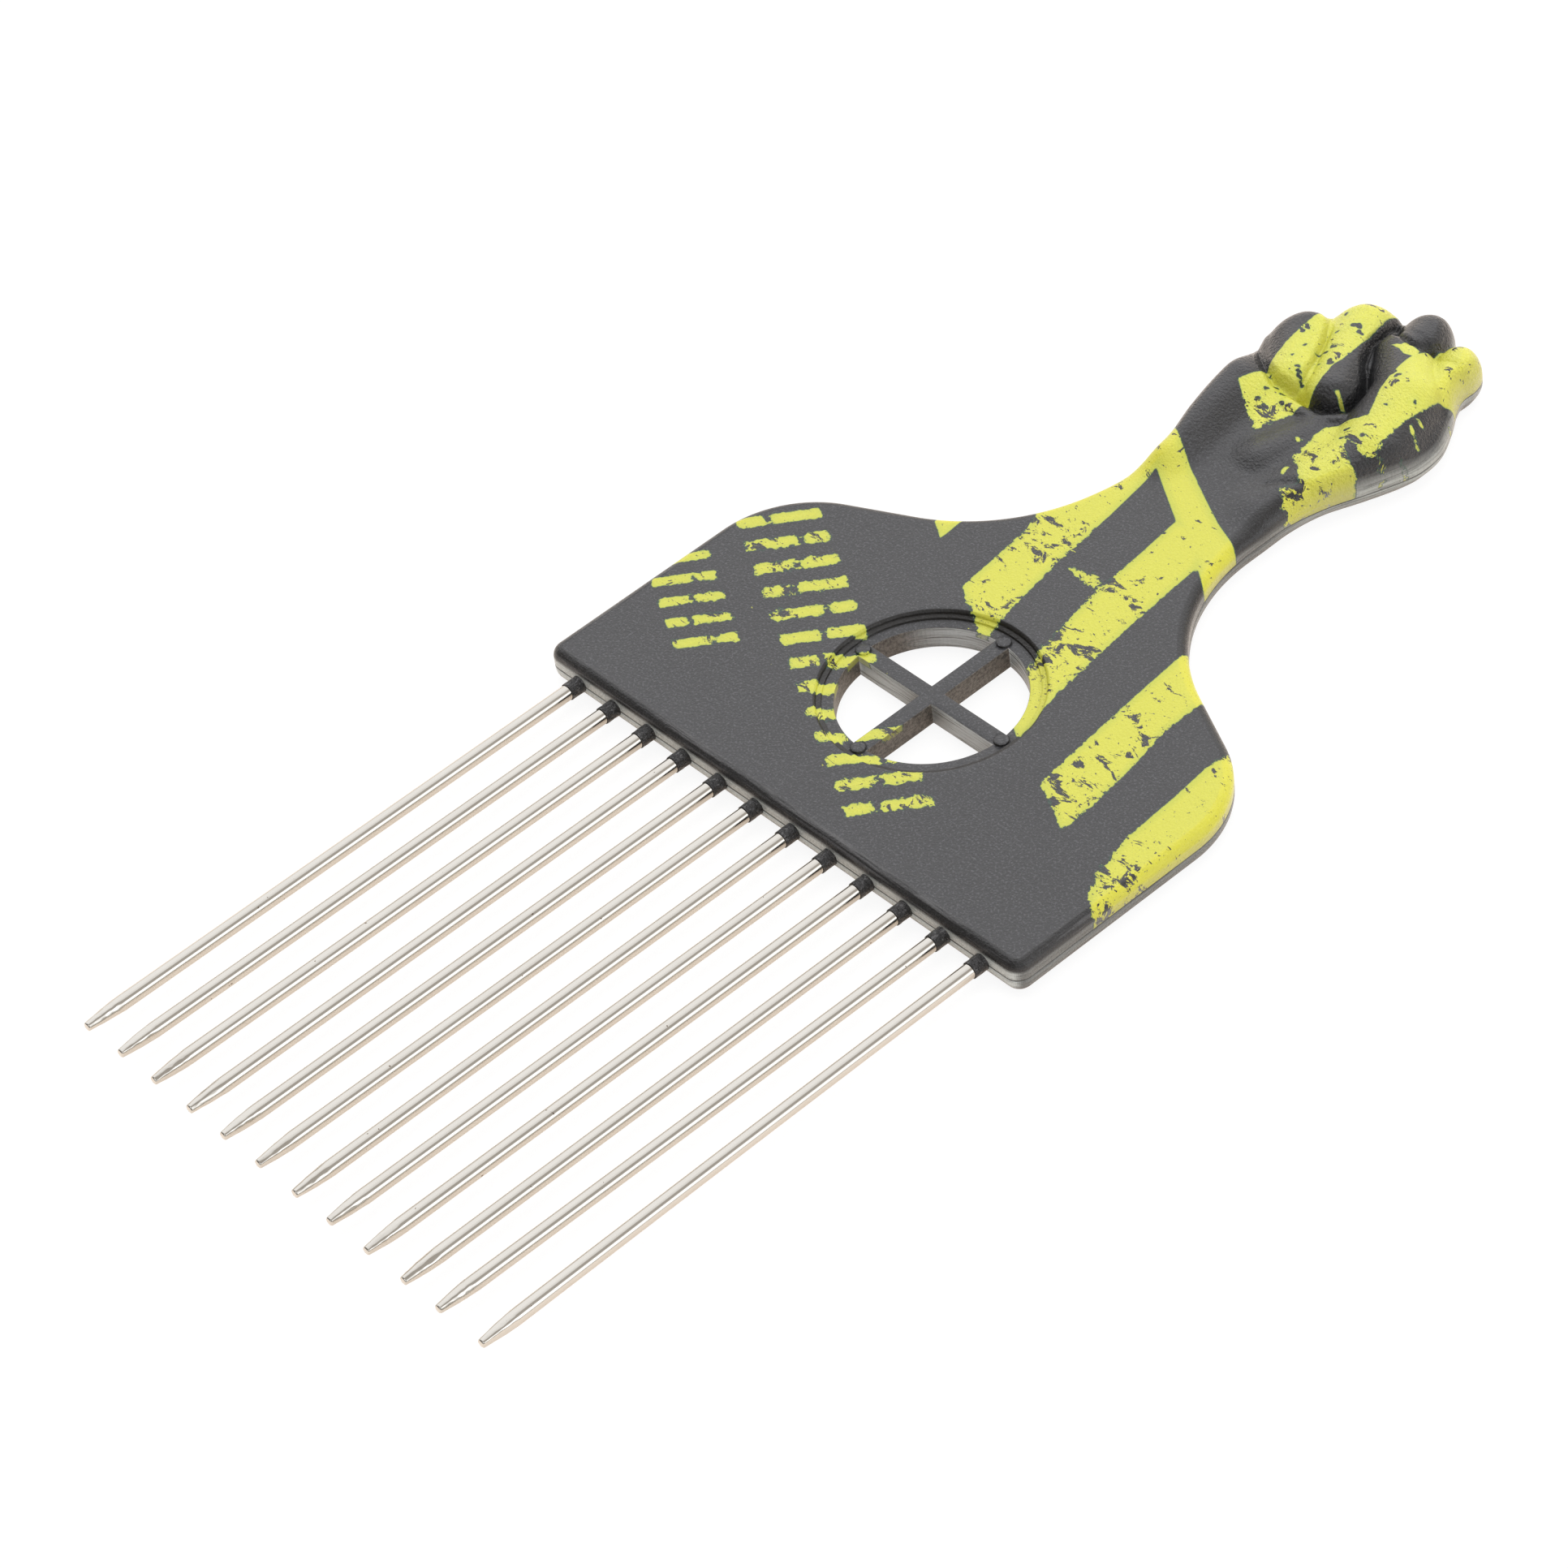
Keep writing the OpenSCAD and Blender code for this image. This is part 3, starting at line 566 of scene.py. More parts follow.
# How many steps to either side the apron's inner loop is evened over, and the rows of its two faces
APRON_REACH, PALM_ROWS, BACK_ROWS = 19, 12, 6


def apron(m, ids, into, height, count, turned):
    """Rows from the hand's rounding to an evened loop inside it, so that no scallop shows on the face."""
    foot = m.at(ids)[:, :2]
    loop = foot.copy()
    sums = np.vstack([[0, 0], np.cumsum(foot, 0)])
    for i in range(END + 1):
        n = min(APRON_REACH, i, END - i)
        loop[i] = (sums[i + n + 1] - sums[i - n]) / (2 * n + 1) + HAND_EDGE_R * into[i]
    rows = [ids]
    for q in range(1, count + 1):
        xy = foot + (loop - foot) * q / count
        rows.append(m.add(np.column_stack([xy, height(xy[:, 0], xy[:, 1])])))
        m.band(rows[-2], rows[-1], closed=False, turned=turned)
    return loop, rows


def palm(m, loop, rows):
    """A net of four sides over the palm, inside its apron. Gives the points along the wrist."""
    rim = rows[-1]
    up, across = np.arange(UP_N + 1), np.arange(ACROSS_N + 1)
    u, v = across[None, :, None] / ACROSS_N, up[:, None, None] / UP_N
    right, left, top = loop[up][:, None], loop[END - up][:, None], loop[UP_N + across][None]
    corners = loop[UP_N] * (1 - u) + loop[UP_N + ACROSS_N] * u
    net = right * (1 - u) + left * u + v * (top - corners)
    grid = np.zeros((UP_N + 1, ACROSS_N + 1), int)
    grid[:, 0], grid[:, -1], grid[-1] = rim[up], rim[END - up], rim[UP_N + across]
    xy = net[:-1, 1:-1].reshape(-1, 2)
    grid[:-1, 1:-1] = m.add(np.column_stack([xy, relief(xy[:, 0], xy[:, 1])])).reshape(UP_N, ACROSS_N - 1)
    for a, b in zip(grid, grid[1:]):
        m.band(a, b, closed=False, turned=True)
    return np.concatenate([[r[0] for r in rows], grid[0][1:-1], [r[END] for r in rows[::-1]]])


RECESS_STEPS, BUTTON_STEPS = 160, 28
# Small bevels round the opening: at rims, at the mouth's lip and how far that drops, at steps and their feet
RIM, LIP, LIP_DROP, NICK, FOOT = 0.06, 0.03, 0.035, 0.05, 0.04


def recess(m, up):
    """The mouth, wall, step and lower wall of one face's recess. Gives its first and last ring."""
    s, r = 1 if up else -1, RECESS_D / 2
    steps = [(r + MOUTH + RIM, HALF_T), (r + MOUTH - LIP, HALF_T - LIP_DROP),
             (r + RIM, HALF_T - MOUTH + LIP), (r, HALF_T - MOUTH - NICK),
             (r, HALF_T - LEDGE_H + FOOT), (r - FOOT, HALF_T - LEDGE_H),
             (r - LEDGE_W + NICK, HALF_T - LEDGE_H), (r - LEDGE_W, HALF_T - LEDGE_H - NICK),
             (r - LEDGE_W, HALF_T - RECESS_H + FOOT), (r - LEDGE_W - FOOT, HALF_T - RECESS_H)]
    rings = [circle(m, 0, OPENING_Y, r_step, s * z, RECESS_STEPS) for r_step, z in steps]
    for a, b in zip(rings, rings[1:]):
        # the whole recess takes the deep black: painted shade
        m.band(b, a, turned=up, slot=DEEP_SHADE)
    return rings[0], rings[-1]


QUARTERS = [(1, 1), (-1, 1), (-1, -1), (1, -1)]
WINDOW_CORNER_R = 0.12


def window_line(qx, qy, grow):
    """The outline of one quarter window, made larger by grow."""
    s, r, k = SPOKE_W / 2 - grow, WINDOW_D / 2 + grow, WINDOW_CORNER_R
    e = math.sqrt(r * r - s * s)
    a0, a1 = math.atan2(s, e), math.atan2(e, s)
    turns = [math.pi * 1.5 - t * math.pi / 2 for t in np.linspace(0, 1, 7)[1:]]
    p = [(s + k + k * math.cos(a), s + k + k * math.sin(a)) for a in turns[::-1]]
    shares = np.linspace(0, 1, 15)[:-1]
    p += [(s + k + (e - s - k) * t, s) for t in shares]
    p += [(r * math.cos(a), r * math.sin(a)) for a in np.linspace(a0, a1, 33)[:-1]]
    p += [(s, e - (e - s - k) * t) for t in shares]
    p = np.array(p) * [qx, qy]
    if qx * qy < 0:
        p = p[::-1]
    return p + [0, OPENING_Y]


def window_rim(m, qx, qy, z, s):
    """The rounded rim of one window in a floor at z. Gives the loop in the floor and the top of the wall."""
    rings = []
    for grow, deep in ((RIM, 0), (RIM / 3, RIM / 3), (0, RIM)):
        w = window_line(qx, qy, grow)
        rings.append(m.add(np.column_stack([w, np.full(len(w), z - s * deep)])))
    for a, b in zip(rings, rings[1:]):
        m.band(a, b, turned=s < 0, slot=CUT)
    return rings[0], rings[-1]


def buttons(m, z):
    """The buttons at the cross's ends, each with a thin groove round it. Gives their loops in the floor."""
    reach = (WINDOW_D + SPOKE_W / 4) / 2
    loops = []
    # how far inside the button's edge each ring stands, and how high over the floor
    profile = ((-.01, 0), (.03, -.06), (.07, -.03), (.07, BUTTON_H * .75), (.12, BUTTON_H), (.45, BUTTON_H))
    for a in np.arange(4) * math.pi / 2:
        cx, cy = reach * math.cos(a), OPENING_Y + reach * math.sin(a)
        rings = [circle(m, cx, cy, BUTTON_D / 2 - i, z + h, BUTTON_STEPS) for i, h in profile]
        for k, (c, d) in enumerate(zip(rings, rings[1:])):
            # the groove round the button takes the deep black: painted shade
            m.band(c, d, slot=DEEP_SHADE if k < 3 else SKIN)
        m.face([rings[-1].tolist()])
        loops.append(rings[0])
    return loops


def opening(m, floors):
    """Both floors of the recess with the cross between four windows, and the windows' walls."""
    tops = {}
    for up in (True, False):
        s = 1 if up else -1
        z = s * (HALF_T - RECESS_H)
        rims = [window_rim(m, qx, qy, z, s) for qx, qy in QUARTERS]
        tops[up] = [top for _, top in rims]
        holes = [loop for loop, _ in rims] + (buttons(m, z) if up else [])
        fill(m, [floors[up]] + holes, FLOOR_NET, lambda x, y: np.full(len(x), z), FLOOR_RIM, turned=not up)
    for a, b in zip(tops[True], tops[False]):
        pa, pb = m.at(a), m.at(b)
        rings = [a] + [m.add(pa + (pb - pa) * t) for t in (.25, .5, .75)] + [b]
        for c, d in zip(rings, rings[1:]):
            m.band(c, d, slot=CUT)


# Collars: their reach into the plate, the height of their dents, and the flare where they meet the plate
COLLAR_ROOT, DENT_H, FLARE_H = 0.8, 0.035, 0.05


def collars(m):
    """The collars that the plate forms round the tines, hammered a little."""
    n, rows = 36, 12
    a = np.linspace(0, 2 * math.pi, n, endpoint=False)
    profile = [(COLLAR_ROOT, COLLAR_R)]
    profile += [(.1 - (COLLAR_L + .06) * t, COLLAR_R) for t in np.linspace(0, 1, rows)]
    profile += [(-COLLAR_L, COLLAR_R - .03), (-COLLAR_L + .02, TINE_D / 2 + .03)]
    profile += [(-COLLAR_L + .5, TINE_D / 2 + .01)]
    for i in range(TINES):
        x0 = (i - (TINES - 1) / 2) * SPACING
        prev = None
        for k, (y, r) in enumerate(profile):
            dent = DENT_H * lump(a * 2.2 + 3 * i, np.full(n, y * 2.6), 11 + i) * np.exp(-((y + .9) / .9) ** 2)
            flare = FLARE_H * math.exp(-(y / .1) ** 2) if y < .2 else 0
            rr = r + (dent if 0 < k <= rows else 0) + flare
            ring = m.add(np.column_stack([x0 + rr * np.cos(a), np.full(n, y), rr * np.sin(a)]))
            if prev is not None:
                m.band(prev, ring, slot=HAMMERED)
            prev = ring


def moulding():
    m = Mesh()
    right, right_in = right_side()
    hand, hand_in = hand_line()
    left, left_in = right[::-1][:-1] * [-1, 1], right_in[::-1][:-1] * [-1, 1]
    line = np.concatenate([right, hand[1:-1], left])
    into = np.concatenate([right_in, hand_in[1:-1], left_in])
    feet, rings = rounded_edges(m, line, into)
    # the ends of the wrist, right and left, in the outline
    first, last = len(right) - 1, len(right) + len(hand) - 2
    on_hand, on_plate = slice(first, last + 1), (slice(last + 1, None), slice(None, first))
    loop, rows = apron(m, feet[True][on_hand], hand_in, relief, PALM_ROWS, turned=False)
    wrist = palm(m, loop, rows)
    mouths, floors = zip(*[recess(m, up) for up in (True, False)])
    opening(m, {True: floors[0], False: floors[1]})
    fill(m, [np.concatenate([feet[True][part] for part in on_plate] + [wrist]), mouths[0]], FLAT_NET, relief)
    _, rows = apron(m, feet[False][on_hand], hand_in, back_z, BACK_ROWS, turned=True)
    back = [feet[False][part] for part in on_plate]
    back += [[r[0] for r in rows[:-1]], rows[-1], [r[END] for r in rows[-2::-1]]]
    fill(m, [np.concatenate(back), mouths[1]], FLAT_NET, back_z, turned=True)
    collars(m)
    ob, pts = m.build("handle_moulding")
    mark(ob, pts, feet, rings)
    return ob


# Only points above this height are printed
PRINT_Z = 0.02


def mark(ob, pts, feet, rings):
    """Values on the points that the materials read: print, wear, rounded edge, the side's scuffs and painted
    sheen, and hand.
    """
    x, y, z = pts.T
    edge, side = np.zeros(len(pts)), np.zeros(len(pts))
    for ring, scuffs_and_sheen in rings:
        edge[ring], side[ring] = 1, scuffs_and_sheen
    for foot in feet.values():
        edge[foot] = LAST_RING_EDGE
    ink = np.where(z > PRINT_Z, ink_of(x, y), -PRINT_REACH)
    marks = {"ink": ink, "worn": worn_of(x, y), "edge": edge, "side": side, "hand": hand_part(y)}
    for name, values in marks.items():
        at = ob.data.attributes.new(name, "FLOAT", "POINT")
        at.data.foreach_set("value", values.astype(np.float32))


# Tines

# How far the tips are bent aside and up at most, but for the last two, which are bent aside more
BEND, LIFT, MORE_BENT = 0.12, 0.05, {11: .55, 10: -.3}
# Depth of the facets that the dies left on the tip, of its hammering, and of the neck behind it
FACET_D, HAMMER_D, TIP_NECK_D = 0.022, 0.016, 0.02


def tine(i):
    """One pin: a drawn wire, bent a little, and a tip that was swaged between dies and shows their facets."""
    m = Mesh()
    n = 40
    a = np.linspace(0, 2 * math.pi, n, endpoint=False)
    x0 = (i - (TINES - 1) / 2) * SPACING
    r, tip_y = TINE_D / 2, -(TINE_L - TIP_L)
    ys = [SHANK_L - .12, SHANK_L - .25, 5, 0] + list(np.linspace(-1.5, tip_y + .6, 46))
    ys += list(np.linspace(tip_y, -TINE_L + .22, 26)) + [-TINE_L + .1, -TINE_L + .03, -TINE_L]
    # the bevel at the hidden end, and the rounding of the blunt tip
    trims = {0: .12, len(ys) - 2: .05, len(ys) - 1: .13}
    bend = MORE_BENT.get(i, BEND * math.sin(i * 2.3 + .6))
    lift = LIFT * math.sin(i * 1.7)
    prev = None
    for k, y in enumerate(ys):
        t = max(0, (tip_y - y) / TIP_L)
        body = r - (r - TIP_D / 2) * (t * .75 if t < .5 else .375 + (t - .5) * 1.25) - trims.get(k, 0)
        facet = FACET_D * smooth(t * 6) * (1 - .3 * t) * np.cos(5 * a + i * 1.9 + t * .6)
        rough = HAMMER_D * smooth(t * 5) * lump(a * 2.4 + i, np.full(n, y * 1.9), 5 + i)
        neck = TIP_NECK_D * math.exp(-((t - .03) / .05) ** 2) * lump(a * 1.6, np.full(n, i * 3.3), 9)
        rr = np.minimum(body + facet + rough - np.abs(neck), r)
        s = max(0, -y) / TINE_L
        cx, cz = x0 + bend * s ** 1.6, lift * s ** 2
        ring = m.add(np.column_stack([cx + rr * np.cos(a), np.full(n, y), cz + rr * np.sin(a)]))
        if prev is None:
            m.face([ring.tolist()[::-1]])
        else:
            m.band(prev, ring)
        prev = ring
    m.face([prev.tolist()])
    return m.build(f"pin_{i + 1:02d}")[0]


# Materials

def shade(c, k):
    return [v * k for v in c] + [1]


class Nodes:
    """A node tree, with short names for the steps that the materials and the studio share."""

    def __init__(self, owner):
        owner.use_nodes = True
        self.tree = owner.node_tree
        self.tree.nodes.clear()

    def put(self, kind, ins=None, **props):
        n = self.tree.nodes.new(kind)
        for k, v in props.items():
            setattr(n, k, v)
        for k, v in (ins or {}).items():
            if isinstance(v, bpy.types.NodeSocket):
                self.tree.links.new(v, n.inputs[k])
            else:
                n.inputs[k].default_value = v
        return n

    def end(self, shader, kind="ShaderNodeOutputMaterial"):
        self.put(kind, {"Surface": shader.outputs[0]})

    def calc(self, op, a, b=0.0, clamp=False):
        return self.put("ShaderNodeMath", {0: a, 1: b}, operation=op, use_clamp=clamp).outputs[0]

    def add(self, a, b, clamp=False):
        return self.calc("ADD", a, b, clamp)

    def less(self, a, b, clamp=False):
        return self.calc("SUBTRACT", a, b, clamp)

    def times(self, a, *others):
        for b in others:
            a = self.calc("MULTIPLY", a, b)
        return a

    def most(self, a, b, clamp=False):
        return self.calc("MAXIMUM", a, b, clamp)

    def ramp(self, value, lo, hi, a=0.0, b=1.0, kind="SMOOTHSTEP"):
        ins = {"Value": value, "From Min": lo, "From Max": hi, "To Min": a, "To Max": b}
        return self.put("ShaderNodeMapRange", ins, interpolation_type=kind).outputs[0]

    def mix(self, f, a, b):
        return self.put("ShaderNodeMix", {0: f, 6: a, 7: b}, data_type="RGBA").outputs[2]

    def axes(self, vector):
        return self.put("ShaderNodeSeparateXYZ", {0: vector}).outputs

    def scale(self, vector, k):
        return self.put("ShaderNodeVectorMath", {0: vector, 3: k}, operation="SCALE").outputs[0]


class Paint(Nodes):
    """A material's nodes, with its own coordinates in mm."""

    def __init__(self, name):
        self.material = bpy.data.materials.new(name)
        super().__init__(self.material)
        self.co = self.scale(self.put("ShaderNodeTexCoord").outputs["Object"], 1000.0)

    def point_value(self, name):
        return self.put("ShaderNodeAttribute", attribute_name=name).outputs["Fac"]

    def noise(self, scale, detail=3.0, rough=0.5, distort=0.0, **place):
        """Noise per mm. A Location, Rotation or Scale moves, turns or squeezes its pattern."""
        co = self.co
        if place:
            co = self.put("ShaderNodeMapping", {"Vector": co, **place}).outputs[0]
        ins = {"Vector": co, "Scale": scale, "Detail": detail, "Roughness": rough, "Distortion": distort}
        return self.put("ShaderNodeTexNoise", ins).outputs[0]

    def finish(self, height, ins):
        """The shader with its inputs, over a bump whose height is in mm."""
        bump = self.put("ShaderNodeBump", {"Strength": 1.0, "Distance": .001, "Height": height})
        self.end(self.put("ShaderNodeBsdfPrincipled", {**ins, "Normal": bump.outputs[0]}))
        return self.material


BLACK, SPARKED = (.018, .0184, .020), (.0425, .0437, .048)
# the deep black, darker still, is painted shade in the recess and the grooves
COLLAR_BLACK, DEEP_SHADE_BLACK = (.014, .014, .015), (.010, .0095, .009)
PRINT_TURN = (0, 0, 0.49)
# The drawn lines fade over this length behind the plate's straight sides
DRAWN_FADE = 16.0


def print_mask(n, ink, worn, walls):
    """Print with straight borders, torn only where it is worn, with chips in it and flakes of it round about.
    Gives where it is, and the distance from its torn border."""
    tear = n.noise(1.1, 5, .62, .2)
    fine = n.noise(5.0, 2, .5)
    chip = n.noise(.45, 7, .70, .6, Scale=(.75, 1.2, 1), Rotation=PRINT_TURN, Location=(7.3, 2.1, 0))
    dots = n.noise(1.9, 4, .6, .3, Location=(3.7, 9.2, 0))
    flake = n.noise(1.0, 5, .6, .4, Scale=(.6, 1.2, 1), Rotation=PRINT_TURN, Location=(1.9, 5.5, 0))

    def over(pattern, level, wear, top):
        return n.ramp(n.less(pattern, n.less(level, n.times(worn, wear))), -.003, top)

    rag = n.times(n.less(tear, .52), 2.6, worn)
    border = n.add(n.add(ink, rag), n.times(n.less(fine, .5), .09))
    whole = n.times(n.less(1.0, over(chip, .625, .10, .004)), n.less(1.0, over(dots, .69, .06, .006)))
    on = n.times(n.ramp(border, -.03, .03), whole)
    loose = n.times(over(flake, .765, .06, .005), n.ramp(ink, -2.4, -1.8))
    on = n.most(on, loose)
    return (n.times(on, .45) if walls else on), border


def wall_black(n, normal):
    """The walls that face the tines carry drawn lines painted pale, a painted sheen of the light that they
    catch, which fades to painted shade toward the opening's middle; the others a fine brownish grain.
    """
    # painted sheen on the walls that face the tines
    pale = n.ramp(normal["Y"], -.35, -.95)
    lines = n.noise(1.0, 4, .8, .1, Scale=(.10, .10, 5.5))
    sand = n.noise(2.6, 3, .7)
    middle = (0, OPENING_Y - MIDDLE_Y, HALF_T)
    out = n.put("ShaderNodeVectorMath", {0: n.co, 1: middle}, operation="DISTANCE").outputs["Value"]
    grained = n.mix(n.ramp(sand, .35, .65), (.050, .043, .035, 1), (.19, .165, .14, 1))
    drawn = n.mix(n.ramp(lines, .36, .52), (.21, .212, .205, 1), (.80, .835, .84, 1))
    # painted shade: the sheen fades toward the opening's middle
    return n.mix(n.times(pale, n.ramp(out, .8, 5.5, .45, 1.0)), grained, drawn)


def skin_black(n, base, plate, edge, hand, normal):
    """The moulding's black: the roundings and the hand are darker than the sparked flats, and the hand's flats
    that face up are painted lighter, a painted sheen that leaves its flanks looking shaded.
    """
    cloud = n.noise(.09, 3, .5)
    speck = n.ramp(n.noise(3.5, 2, .6), .52, .66)
    flat = n.less(1.0, n.most(hand, edge), clamp=True)
    black = n.mix(flat, shade(base, .9), shade(plate, .97))
    # painted light: the hand's flats that face up take a lighter black
    black = n.mix(n.times(hand, n.ramp(normal["Z"], .90, .99)), black, shade(plate, 1.2))
    black = n.mix(n.times(cloud, .3), black, shade(base, .6))
    return n.mix(n.times(speck, n.add(.15, n.times(flat, .6))), black, shade(plate, 2.4))


def scuffs_and_sheen(n, side, front):
    """The sides turn pale toward the parting line, most of all where they face the front: scuffs in streaks
    that run along it, and with them a painted sheen of the light that the sides catch.
    """
    streaks = n.noise(1.0, 4, .7, .1, Scale=(.12, .12, 3.6))
    sides = n.times(n.calc("POWER", side, 1.1), n.ramp(streaks, .34, .58, .45, 1.0))
    return n.most(sides, n.times(front, side, n.ramp(streaks, .34, .50, .8, 1.1)), clamp=True)


def lime_ink(n, ink, edge, hand, normal, scuff_and_sheen):
    """The ink: cloudy, greener at its border, yellower over the edges, and on the hand painted lighter, with
    painted shade on its flanks, so its tops look lit.
    """
    lime = n.mix(n.noise(4.6, 3, .65), (.65, .645, .055, 1), (.82, .83, .10, 1))
    lime = n.mix(n.times(n.ramp(ink, .1, 1.2, 1, 0), .40), lime, (.50, .59, .075, 1))
    lime = n.mix(n.times(edge, .45), lime, (.82, .77, .03, 1))
    # painted light: the ink is lighter over the hand
    lime = n.mix(n.times(hand, .42), lime, (.90, .93, .14, 1))
    # painted shade: the ink darkens on the hand's flanks
    lime = n.mix(n.times(hand, n.ramp(normal["Z"], .93, .5, 0, .4)), lime, (.45, .42, .04, 1))
    # scuffs and their painted sheen pale the ink too
    return n.mix(n.times(scuff_and_sheen, .45), lime, (.66, .62, .38, 1))


def plastic(name, base=BLACK, plate=SPARKED, walls=False, hammered=False):
    n = Paint(name)
    ink, worn, edge, side, hand = map(n.point_value, ("ink", "worn", "edge", "side", "hand"))
    normal = n.axes(n.put("ShaderNodeNewGeometry").outputs["True Normal"])
    printed, border = print_mask(n, ink, worn, walls)
    black = wall_black(n, normal) if walls else skin_black(n, base, plate, edge, hand, normal)

    # lines drawn over the plate's edges, whose paler grey is painted highlight, and the scuffs with their
    # painted sheen
    rows = n.noise(1.0, 4, .7, 0, Scale=(.05, .05, 6.0 if walls else 3.4))
    side_end = SIDE_L - MIDDLE_Y
    drawn_edge = n.times(edge, n.ramp(n.axes(n.co)["Y"], side_end, side_end + DRAWN_FADE, 1, 0))
    # painted highlight: the drawn lines on the edges take a paler grey
    black = n.mix(n.times(drawn_edge, n.ramp(rows, .48, .60, 0, .5)), black, (.16, .16, .165, 1))
    front = n.ramp(normal["Y"], -.5, -.9)
    scuff_and_sheen = scuffs_and_sheen(n, side, front)
    # painted sheen: the scuffed sides, and most of all the faces to the front, are painted pale
    pale = n.mix(front, n.mix(hand, (.26, .27, .26, 1), (.55, .573, .54, 1)), (.90, .94, .91, 1))
    black = n.mix(scuff_and_sheen, black, pale)
    lime = lime_ink(n, ink, edge, hand, normal, scuff_and_sheen)

    # a green fringe, where the print's colours don't meet
    fringe = n.times(n.ramp(n.calc("ABSOLUTE", n.add(border, .02)), .02, .15, 1, 0), .7)
    lime = n.mix(n.times(fringe, n.ramp(border, -.02, .06)), lime, (.20, .36, .09, 1))
    black = n.mix(fringe, black, (.022, .085, .055, 1))
    if hammered:
        # painted glints: pale grey patches on the hammered collars
        painted_glints = n.noise(1.0, 4, .7, .3, Scale=(2.8, 1.4, 2.8))
        black = n.mix(n.ramp(painted_glints, .54, .64, 0, .6), black, (.17, .17, .175, 1))

    # surface: spark-eroded grain, the drawn lines, and orange peel on the hand
    grain = n.noise(3.4, 3, .6)
    peel = n.noise(2.7, 3, .55, .15)
    rough = n.add(n.ramp(grain, .3, .7, .28, .40, "LINEAR"), n.times(edge, -.07))
    rough = n.add(n.less(rough, n.times(hand, .15)), n.times(printed, .04), clamp=True)
    h = n.add(n.times(grain, .03 if hammered else .085), n.times(peel, hand, .19))
    h = n.add(h, n.times(rows, .05) if walls else n.times(rows, drawn_edge, .11))
    h = n.add(h, n.times(printed, .006))
    if hammered:
        h = n.add(h, n.times(n.noise(2.4, 3, .6), .28))
        rough = n.times(rough, .5)
    return n.finish(h, {"Base Color": n.mix(printed, black, lime), "Roughness": rough, "IOR": 1.58})


def steel():
    n = Paint("nickel_steel")
    drawn = n.noise(1.0, 2, .5, 0, Scale=(4, .04, 4))
    cloud = n.noise(.22, 3, .55)
    pit = n.ramp(n.noise(1.1, 2, .5, .2), .76, .775)
    colour = n.mix(cloud, (.555, .537, .497, 1), (.605, .592, .552, 1))
    colour = n.mix(pit, colour, (.20, .15, .11, 1))
    rough = n.add(n.ramp(drawn, .3, .7, .09, .14, "LINEAR"), n.times(cloud, .04))
    h = n.less(n.times(drawn, .0004), n.times(pit, .02))
    h = n.add(h, n.times(n.noise(.7, 1, .5, 0, Scale=(1, .25, 1)), .004))
    return n.finish(h, {"Base Color": colour, "Metallic": 1.0, "Roughness": rough})


body = moulding()
body.data.materials.append(plastic("black_moulding"))
body.data.materials.append(plastic("black_moulding_cut", walls=True))
body.data.materials.append(plastic("black_moulding_hammered", COLLAR_BLACK, COLLAR_BLACK, hammered=True))
# the deep places' material: painted shade
body.data.materials.append(plastic("black_moulding_deep_shade", DEEP_SHADE_BLACK, DEEP_SHADE_BLACK))
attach(body, "root")
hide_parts("handle")
metal = steel()
for i in range(TINES):
    pin = tine(i)
    pin.data.materials.append(metal)
    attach(pin, "root")
    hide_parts(f"tine_{i + 1:02d}")


# Floor, light and camera, in metres of the frame

FLOOR_HALF = 3.0


def floor():
    """A pale floor that looks white to the camera but for shadows, and beige in the metal."""
    me = bpy.data.meshes.new("studio_floor")
    corners = [(x * FLOOR_HALF, y * FLOOR_HALF, 0) for x, y in ((-1, -1), (1, -1), (1, 1), (-1, 1))]
    me.from_pydata(corners, [], [(0, 1, 2, 3)])
    ob = bpy.data.objects.new("studio_floor", me)
    bpy.context.scene.collection.objects.link(ob)
    material = bpy.data.materials.new("studio_floor")
    n = Nodes(material)
    path = n.put("ShaderNodeLightPath").outputs
    lit = n.put("ShaderNodeBsdfDiffuse", {"Color": (.83, .81, .79, 1)})
    in_metal = n.times(path["Is Glossy Ray"], .52)
    glow = n.put("ShaderNodeEmission", {"Color": (1, .79, .62, 1), "Strength": in_metal})
    bounce = n.put("ShaderNodeAddShader", {0: lit.outputs[0], 1: glow.outputs[0]})
    shadow = n.put("ShaderNodeBsdfDiffuse", {"Color": (.16, .16, .16, 1)})
    white = n.put("ShaderNodeEmission", {"Color": (1, 1, 1, 1), "Strength": .90})
    page = n.put("ShaderNodeAddShader", {0: shadow.outputs[0], 1: white.outputs[0]})
    n.end(n.put("ShaderNodeMixShader", {0: path["Is Camera Ray"], 1: bounce.outputs[0], 2: page.outputs[0]}))
    me.materials.append(material)


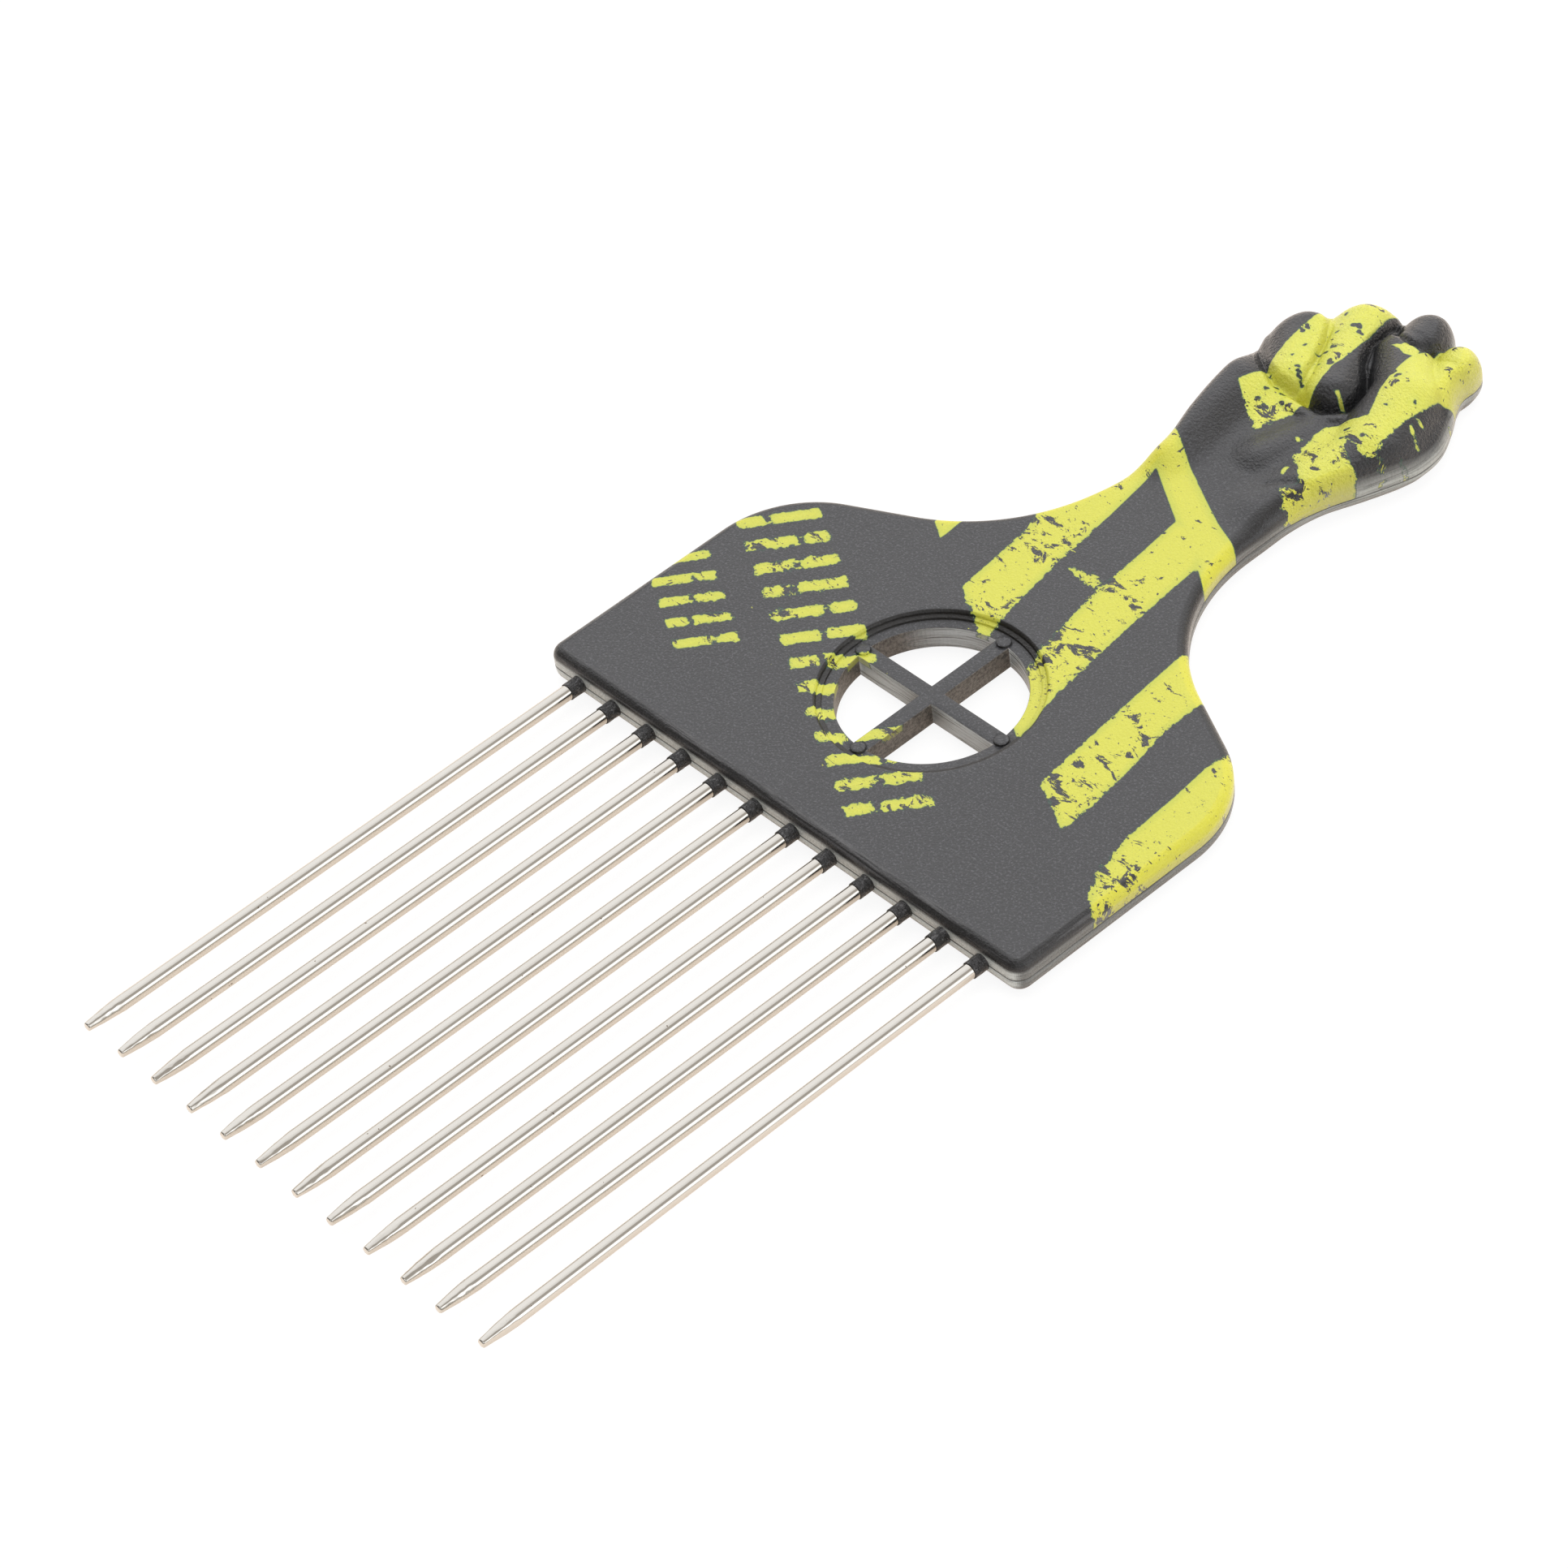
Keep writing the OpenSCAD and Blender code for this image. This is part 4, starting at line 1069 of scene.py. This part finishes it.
def world():
    """A dim room with soft boxes, seen in reflections, and plain white behind the floor."""
    w = bpy.data.worlds.new("studio")
    bpy.context.scene.world = w
    n = Nodes(w)
    direction = n.put("ShaderNodeTexCoord").outputs["Generated"]
    at = n.axes(direction)

    def patch(toward, inner, outer, strength):
        """A round light in one direction, which fades out between two angles in degrees."""
        aim = tuple(Vector(toward).normalized())
        k = n.put("ShaderNodeVectorMath", {0: direction, 1: aim}, operation="DOT_PRODUCT").outputs["Value"]
        return n.ramp(k, math.cos(math.radians(outer)), math.cos(math.radians(inner)), 0, strength)

    room = n.ramp(at["Y"], -.5, .25, .25, .58)
    # it is brighter low down behind the left
    low = n.times(n.ramp(at["Y"], -.4, .2), n.ramp(at["X"], .3, .1))
    low = n.times(n.ramp(at["Z"], .40, .12), low)
    room = n.add(room, n.times(low, .42))
    # a broad soft box behind the left, and narrow ones low behind the right, at the camera and low on the right
    box = n.add(n.ramp(at["X"], .27, .19, 0, .7), n.ramp(at["X"], .19, -.4, 0, .3))
    box = n.times(box, n.ramp(at["Y"], -.35, .12), n.ramp(at["Z"], .10, .38))
    level = n.times(box, .84)
    patches = (((.825, .43, .367), 10, 20, 1.3),
               ((.58, -.43, .69), 4, 22, 1.3),
               ((.89, .17, .42), 7, 17, 1.0))
    for row in patches:
        level = n.add(level, patch(*row))
    warm, cool = n.scale((1.03, .955, .885), room), n.scale((.955, .99, 1.05), level)
    light = n.put("ShaderNodeVectorMath", {0: warm, 1: cool}, operation="ADD").outputs[0]
    seen = n.put("ShaderNodeLightPath").outputs["Is Camera Ray"]
    back = n.put("ShaderNodeBackground", {"Color": n.mix(seen, light, (1, 1, 1, 1)), "Strength": 1.0})
    n.end(back, "ShaderNodeOutputWorld")


def area(name, at, target, size, power):
    li = bpy.data.lights.new(name, "AREA")
    li.shape, li.size, li.size_y, li.energy = "RECTANGLE", size, size, power
    ob = bpy.data.objects.new(name, li)
    bpy.context.scene.collection.objects.link(ob)
    ob.location = at
    ob.rotation_euler = (Vector(target) - Vector(at)).to_track_quat("-Z", "Y").to_euler()
    ob.visible_glossy = False


floor()
world()
area("key_soft", (-.25, .20, 1.15), (0, .02, 0), 1.0, 3.5)

# The photograph's camera: where it stands, then its right, up and back directions
CAM_AT = (.37440, -.29116, .44982)
CAM_AXES = ((.670604, .733432, -.111211), (-.458908, .527954, .714611), (.582832, -.428185, .690626))
cam = bpy.data.cameras.new("photo_camera")
cam.lens, cam.sensor_width, cam.sensor_height, cam.sensor_fit = 134.477, 36, 36, "HORIZONTAL"
cam.clip_start, cam.clip_end = .01, 20
cam_ob = bpy.data.objects.new("photo_camera", cam)
bpy.context.scene.collection.objects.link(cam_ob)
turned = Matrix(CAM_AXES).transposed().to_4x4()
turned.translation = CAM_AT
cam_ob.matrix_world = turned
bpy.context.scene.camera = cam_ob
bpy.context.scene.view_settings.view_transform = "Standard"
